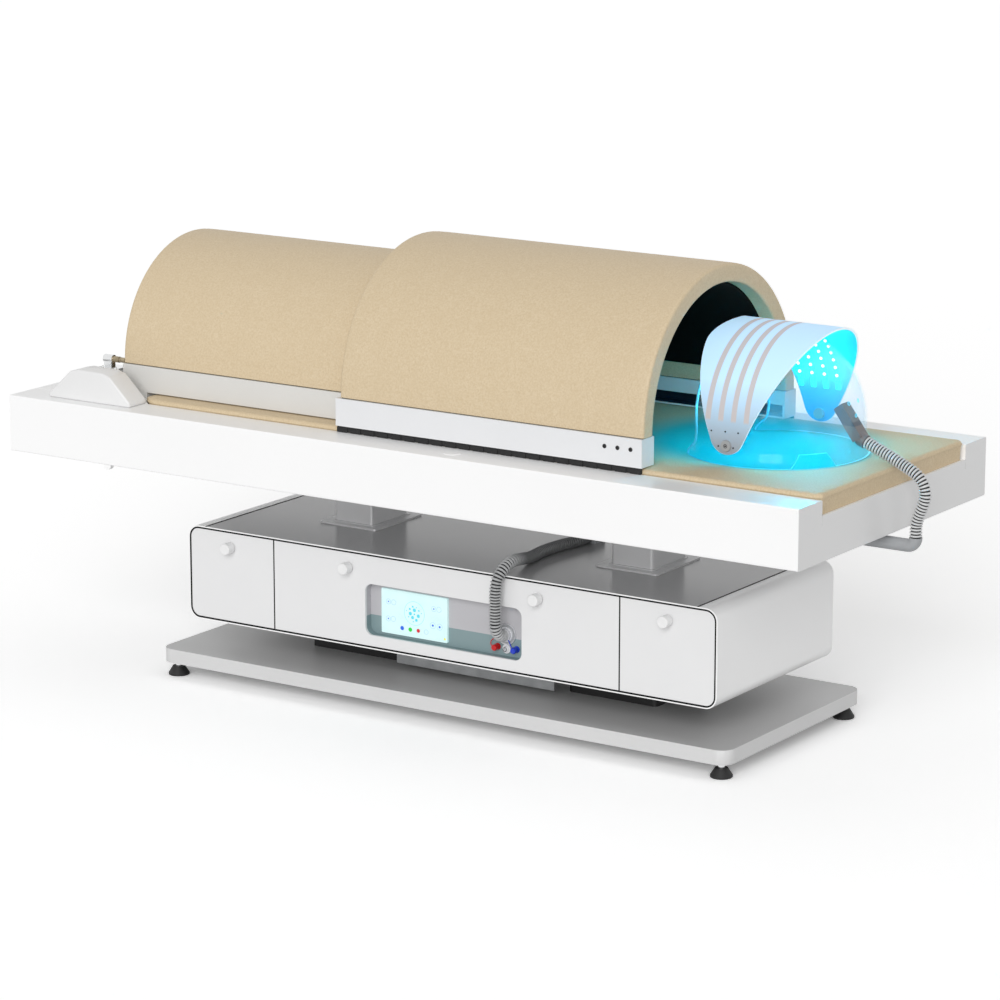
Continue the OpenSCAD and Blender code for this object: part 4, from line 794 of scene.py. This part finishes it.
# painted light: the mattress is painted cyan for the visor's light on it, fully inside the hood's rim,
# and fading out towards the canopy
hood_x = 0.795
lit_hide = leatherette.copy()
lit_hide.name = "leatherette_beige_lit"
spot = add(lit_hide, "SeparateXYZ", {0: place_in(lit_hide)})
flat = add(lit_hide, "CombineXYZ", {"X": spot.outputs["X"], "Y": spot.outputs["Y"]})
cyan_light_zones = []
for centre, outer, inner in (((0.70, 0.06, 0.0), 0.34, 0.19), ((hood_x, 0.0, 0.0), 0.228, 0.200)):
    reach = add(lit_hide, "VectorMath", {0: flat.outputs[0], 1: centre}, operation="DISTANCE")
    cyan_light_zones.append(add(lit_hide, "MapRange", {"Value": reach.outputs["Value"], "From Min": outer,
                                             "From Max": inner}, interpolation_type="SMOOTHSTEP"))
cyan_light_share = add(lit_hide, "Math", {0: cyan_light_zones[0].outputs[0], 1: cyan_light_zones[1].outputs[0]}, operation="MAXIMUM")
painted_cyan_light = add(lit_hide, "Mix", {0: cyan_light_share.outputs[0], 6: colour_of(lit_hide), 7: srgb("#0aa8a8")}, data_type="RGBA")
feed(lit_hide, "Base Color", painted_cyan_light.outputs[2])
feed(lit_hide, "Specular IOR Level", 0.2)
mattress.data.materials.append(lit_hide)
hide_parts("mattress")
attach(mattress, "deck")

# HEAD HOOD
# Clear acrylic dome, blown and trimmed. Light from the visor runs inside the
# sheet, and is painted on: its low wall has a painted cyan tint, veil and glow, and its cut edges a painted glow.
acrylic = bpy.data.materials.new("blown_acrylic_clear")
acrylic.use_nodes = True
place = add(acrylic, "TexCoord").outputs["Object"]
haze = add(acrylic, "TexNoise", {"Vector": place, "Scale": 12.0, "Detail": 2.0})
facing = add(acrylic, "LayerWeight", {"Blend": 0.25})
veil = add(acrylic, "MapRange", {"Value": facing.outputs["Facing"], "To Min": 0.015, "To Max": 0.26})
wave = add(acrylic, "MapRange", {"Value": haze.outputs[0], "To Min": 0.03, "To Max": 0.07})
spot = add(acrylic, "SeparateXYZ", {0: place})
# painted light: the low wall, away from the head side, is painted with a cyan tint, a denser veil and a glow
low_wall = add(acrylic, "MapRange", {"Value": spot.outputs["Z"], "From Min": 0.87, "From Max": 0.73})
not_head = add(acrylic, "MapRange", {"Value": spot.outputs["X"], "From Min": 0.985, "From Max": 0.90})
zone = add(acrylic, "Math", {0: low_wall.outputs[0], 1: not_head.outputs[0]}, operation="MULTIPLY")
thick = add(acrylic, "Math", {0: zone.outputs[0], 1: 0.25}, operation="MULTIPLY")
cover = add(acrylic, "Math", {0: veil.outputs[0], 1: thick.outputs[0]}, operation="MAXIMUM")
glow_tint_share = add(acrylic, "MapRange", {"Value": zone.outputs[0], "From Max": 0.35})
tint = add(acrylic, "Mix", {0: glow_tint_share.outputs[0], 6: srgb("#e9fbff"), 7: srgb("#04b4d4")}, data_type="RGBA")
shine = add(acrylic, "Math", {0: zone.outputs[0], 1: 0.3}, operation="MULTIPLY")
feed(acrylic, "Alpha", cover.outputs[0])
feed(acrylic, "Roughness", wave.outputs[0])
feed(acrylic, "Base Color", tint.outputs[2])
feed(acrylic, "Emission Color", tint.outputs[2])
feed(acrylic, "Emission Strength", shine.outputs[0])
feed(acrylic, "IOR", 1.49)
dress(acrylic, "hood")

# polished cut edges with a painted glow: bright cyan by the visor, dimmer towards the canopy
edge_glow = finish_of("acrylic_lit_edge", "#6fdcf4", "#2597b8", 0.2, 0.01, 0.00005, 0.04)
feed(edge_glow, "Emission Color", colour_of(edge_glow))
spot = add(edge_glow, "SeparateXYZ", {0: place_in(edge_glow)})
near = add(edge_glow, "MapRange", {"Value": spot.outputs["X"], "From Min": 0.70, "From Max": 0.82,
                                   "To Min": 0.1, "To Max": 0.8})
feed(edge_glow, "Emission Strength", near.outputs[0])


def edge_of(name, node, keep, thick, mat, body):
    """The faces of a CAD piece that the test keeps, as thin trim of their own."""
    mesh = nodes[node].data.copy()
    piece = bpy.data.objects.new(name, mesh)
    scene.collection.objects.link(piece)
    take_up(piece)
    drop = [not keep(p.center, p.normal) for p in mesh.polygons]
    bpy.ops.object.mode_set(mode="EDIT")
    bpy.ops.mesh.select_all(action="DESELECT")
    bpy.ops.object.mode_set(mode="OBJECT")
    mesh.polygons.foreach_set("select", drop)
    bpy.ops.object.mode_set(mode="EDIT")
    bpy.ops.mesh.select_mode(type="FACE")
    bpy.ops.mesh.delete(type="FACE")
    bpy.ops.mesh.select_all(action="SELECT")
    bpy.ops.mesh.remove_doubles(threshold=0.00001)
    bpy.ops.object.mode_set(mode="OBJECT")
    mesh.materials.clear()
    mesh.materials.append(mat)
    if "custom_normal" in mesh.attributes:
        mesh.attributes.remove(mesh.attributes["custom_normal"])
    wall = piece.modifiers.new("wall", "SOLIDIFY")
    wall.thickness, wall.offset = thick, 0.0
    bpy.ops.object.modifier_apply(modifier=wall.name)
    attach(piece, body)


def on_hood_cut(c, n):
    """Faces of the neck opening, of the notch and of the rim's foot."""
    neck_z, neck_r, notch_z = 0.778, 0.163, 0.7443
    neck = abs(math.hypot(c.y, c.z - neck_z) - neck_r) < 0.0012 and c.x < 0.79
    radius = math.hypot(c.x - hood_x, c.y)
    foot = c.z < 0.7147
    notch = (c.z < notch_z + 0.0009 and 0.1955 < radius < 0.2115 and abs(n.z) < 0.995
             and abs(n.x * (c.x - hood_x) + n.y * c.y) < 0.1)
    roof = abs(c.z - notch_z) < 0.0006 and abs(n.z) > 0.9
    return neck or foot or notch or roof


edge_of("hood_lit_edge", "hood", on_hood_cut, 0.0003, edge_glow, "deck")
# three drilled holes over the nozzle, whose rims have the same painted glow
blank()
for at in ((0.9882, -0.021, 0.845), (0.9882, 0.021, 0.845), (0.9954, 0.0, 0.815)):
    way = Vector(at) - Vector((hood_x, 0, 0.79))
    bpy.ops.mesh.select_all(action="DESELECT")
    bpy.ops.mesh.primitive_torus_add(major_radius=0.004, minor_radius=0.0007, major_segments=20, minor_segments=6,
                                     location=at, rotation=way.to_track_quat("Z", "Y").to_euler())
fitted("hood_hole_rims", edge_glow, "deck")
dress(grey_plastic, "hood_pivots", "visor_caps")

# VISOR
# Thin arch of translucent white acrylic. Four light strips run inside it, each
# with a row of small lamps, and their backs show through as grey stripes.
visor_axis, inner_skin, strip_first, strip_pitch = 0.791, 0.2145, 0.73925, 0.0325
opal = finish_of("acrylic_opal", "#e6f0f8", "#dfeaf4", 0.46, 0.02, 0.00005, 0.1)
spot = add(opal, "SeparateXYZ", {0: place_in(opal)})
up = add(opal, "Math", {0: spot.outputs["Z"], 1: visor_axis}, operation="SUBTRACT")
above = add(opal, "Math", {0: up.outputs[0], 1: 0.0}, operation="MAXIMUM")
across = add(opal, "CombineXYZ", {"X": spot.outputs["Y"], "Y": above.outputs[0]})
radius = add(opal, "VectorMath", {0: across.outputs[0]}, operation="LENGTH")
inside = add(opal, "Math", {0: radius.outputs["Value"], 1: inner_skin}, operation="LESS_THAN")
rise = add(opal, "MapRange", {"Value": spot.outputs["Z"], "From Min": 0.75, "From Max": 0.90})
# outside: painted light and shade, greyer at the low tips, bluer higher up where the lamps shine through
tips = add(opal, "Mix", {0: rise.outputs[0], 6: srgb("#979da5"), 7: srgb("#bcdcf3")}, data_type="RGBA")
# four stripes: how far a point is from the middle line of the nearest one
shift = add(opal, "Math", {0: spot.outputs["X"], 1: strip_first - strip_pitch / 2}, operation="SUBTRACT")
turn = add(opal, "Math", {0: shift.outputs[0], 1: strip_pitch}, operation="FLOORED_MODULO")
off = add(opal, "Math", {0: turn.outputs[0], 1: strip_pitch / 2}, operation="SUBTRACT")
far = add(opal, "Math", {0: off.outputs[0]}, operation="ABSOLUTE")
on_line = add(opal, "MapRange", {"Value": far.outputs[0], "From Min": 0.0074, "From Max": 0.0058})
from_low = add(opal, "MapRange", {"Value": spot.outputs["Z"], "From Min": 0.812, "From Max": 0.818})
first = add(opal, "Math", {0: spot.outputs["X"], 1: strip_first - strip_pitch / 2}, operation="GREATER_THAN")
last = add(opal, "Math", {0: spot.outputs["X"], 1: strip_first + strip_pitch * 3.5}, operation="LESS_THAN")
stripe = on_line
for limit in (from_low, first, last):
    stripe = add(opal, "Math", {0: stripe.outputs[0], 1: limit.outputs[0]}, operation="MULTIPLY")
outer = add(opal, "Mix", {0: stripe.outputs[0], 6: tips.outputs[2], 7: srgb("#c5bcba")}, data_type="RGBA")
# inside: the lamps' light is painted on, bright cyan, deeper blue at the tips
inner = add(opal, "Mix", {0: rise.outputs[0], 6: srgb("#2f86c6"), 7: srgb("#3cc4f6")}, data_type="RGBA")
skin = add(opal, "Mix", {0: inside.outputs[0], 6: outer.outputs[2], 7: inner.outputs[2]}, data_type="RGBA")
# painted glow of the lamps' light through the sheet: brighter higher up, weaker on the grey stripes, even on the inner
# skin
clear = add(opal, "MapRange", {"Value": stripe.outputs[0], "To Min": 1.0, "To Max": 0.35})
lift = add(opal, "MapRange", {"Value": rise.outputs[0], "To Min": 0.02, "To Max": 0.3})
shine_out = add(opal, "Math", {0: lift.outputs[0], 1: clear.outputs[0]}, operation="MULTIPLY")
shine = add(opal, "Mix", {0: inside.outputs[0], 2: shine_out.outputs[0], 3: 0.3}, data_type="FLOAT")
through = add(opal, "Mix", {0: inside.outputs[0], 6: srgb("#aad7ff"), 7: inner.outputs[2]}, data_type="RGBA")
feed(opal, "Base Color", skin.outputs[2])
feed(opal, "Emission Color", through.outputs[2])
feed(opal, "Emission Strength", shine.outputs[0])
feed(opal, "Specular IOR Level", 0.25)
dress(opal, "visor_shell")

# the cut edge of the sheet is polished, and has a painted glow, whiter than its faces
edge_white = finish_of("acrylic_polished_edge", "#f4fbff", "#dcecf4", 0.2, 0.01, 0.00002, 0.05)
glowing(edge_white, 0.25)


def on_visor_cut(c, n):
    """Faces of the sheet's thickness, between its two skins."""
    radial = math.hypot(c.y, max(c.z - visor_axis, 0.0))
    return 0.2112 < radial < 0.2158


edge_of("visor_cut_edge", "visor_shell", on_visor_cut, 0.0005, edge_white, "visor")

# diffusers of the light strips: an even strong cyan
strip_light = finish_of("light_strip_diffuser", "#0cc8f0", "#08bce0", 0.3, 0.004, 0.0001, 0.02)
glowing(strip_light, 5.0)
dress(strip_light, "visor_strips")

# lamps of clear resin, one every 6 degrees of each strip, bright enough to clip
lamp_resin = finish_of("lamp_resin", "#28e8ff", "#28e4fa", 0.2, 0.002, 0.00005, 0.01)
glowing(lamp_resin, 85.0)
lamp_ring, lamp_count = 0.2086, 24
first_lamp = math.radians(18)
bpy.ops.mesh.primitive_uv_sphere_add(segments=10, ring_count=6, radius=0.0038, location=(
    strip_first, lamp_ring * math.cos(first_lamp), visor_axis + lamp_ring * math.sin(first_lamp)))
bpy.ops.object.mode_set(mode="EDIT")
bpy.ops.mesh.select_all(action="SELECT")
bpy.ops.mesh.spin(steps=lamp_count, dupli=True, angle=math.radians(6 * lamp_count),
                  center=(strip_first, 0, visor_axis), axis=(-1, 0, 0))
bpy.ops.mesh.select_all(action="SELECT")
for _ in range(3):
    bpy.ops.mesh.duplicate_move(TRANSFORM_OT_translate={"value": (strip_pitch, 0, 0)})
fitted("visor_lamps", lamp_resin, "visor", angle=180)

# VISOR FITTINGS
# Five small black screws on each side clamp the sheet between the pivot caps and
# a doubler, and a recessed screw head closes each cap's pivot.

# blackened steel: nearly black, with a small hard shine
screw_black = finish_of("blackened_steel", "#1d2023", "#121417", 0.3, 0.001, 0.00005, 0.01, metal=0.6)
pivot_x, pivot_z, sheet_y, cap_y = 0.788, 0.760, 0.2163, 0.2210
for side in (-1, 1):
    blank()
    for x, z in ((0.7493, 0.7904), (0.7851, 0.7918), (0.8179, 0.7921), (0.7677, 0.7573), (0.8057, 0.7570)):
        bpy.ops.mesh.select_all(action="DESELECT")
        bpy.ops.mesh.primitive_cylinder_add(vertices=20, radius=0.0019, depth=0.0012, rotation=(math.pi / 2, 0, 0),
                                            location=(x, side * sheet_y, z))
    bpy.ops.mesh.select_all(action="DESELECT")
    bpy.ops.mesh.primitive_torus_add(major_radius=0.0042, minor_radius=0.0006, major_segments=28, minor_segments=8,
                                     rotation=(math.pi / 2, 0, 0), location=(pivot_x, side * cap_y, pivot_z))
    bpy.ops.mesh.primitive_cylinder_add(vertices=6, radius=0.0022, depth=0.0008, rotation=(math.pi / 2, 0, 0),
                                        location=(pivot_x, side * (cap_y + 0.0001), pivot_z))
    fitted("visor_screws_" + ("front" if side < 0 else "back"), screw_black, "visor")

# NOZZLE
# Air nozzle of dark blue-grey ABS, moulded in two halves and set through the
# hood's head side, with the hose's cuff pressed on its end.
nozzle_plastic = finish_of("moulded_abs_slate", "#54616e", "#434d58", 0.4, 0.0015, 0.0001, 0.04)
# the lower half is a second moulding in a warmer grey
two_tone(nozzle_plastic, "Z", "LESS_THAN", 0.793, "#6f6c6e")
dress(nozzle_plastic, "nozzle")
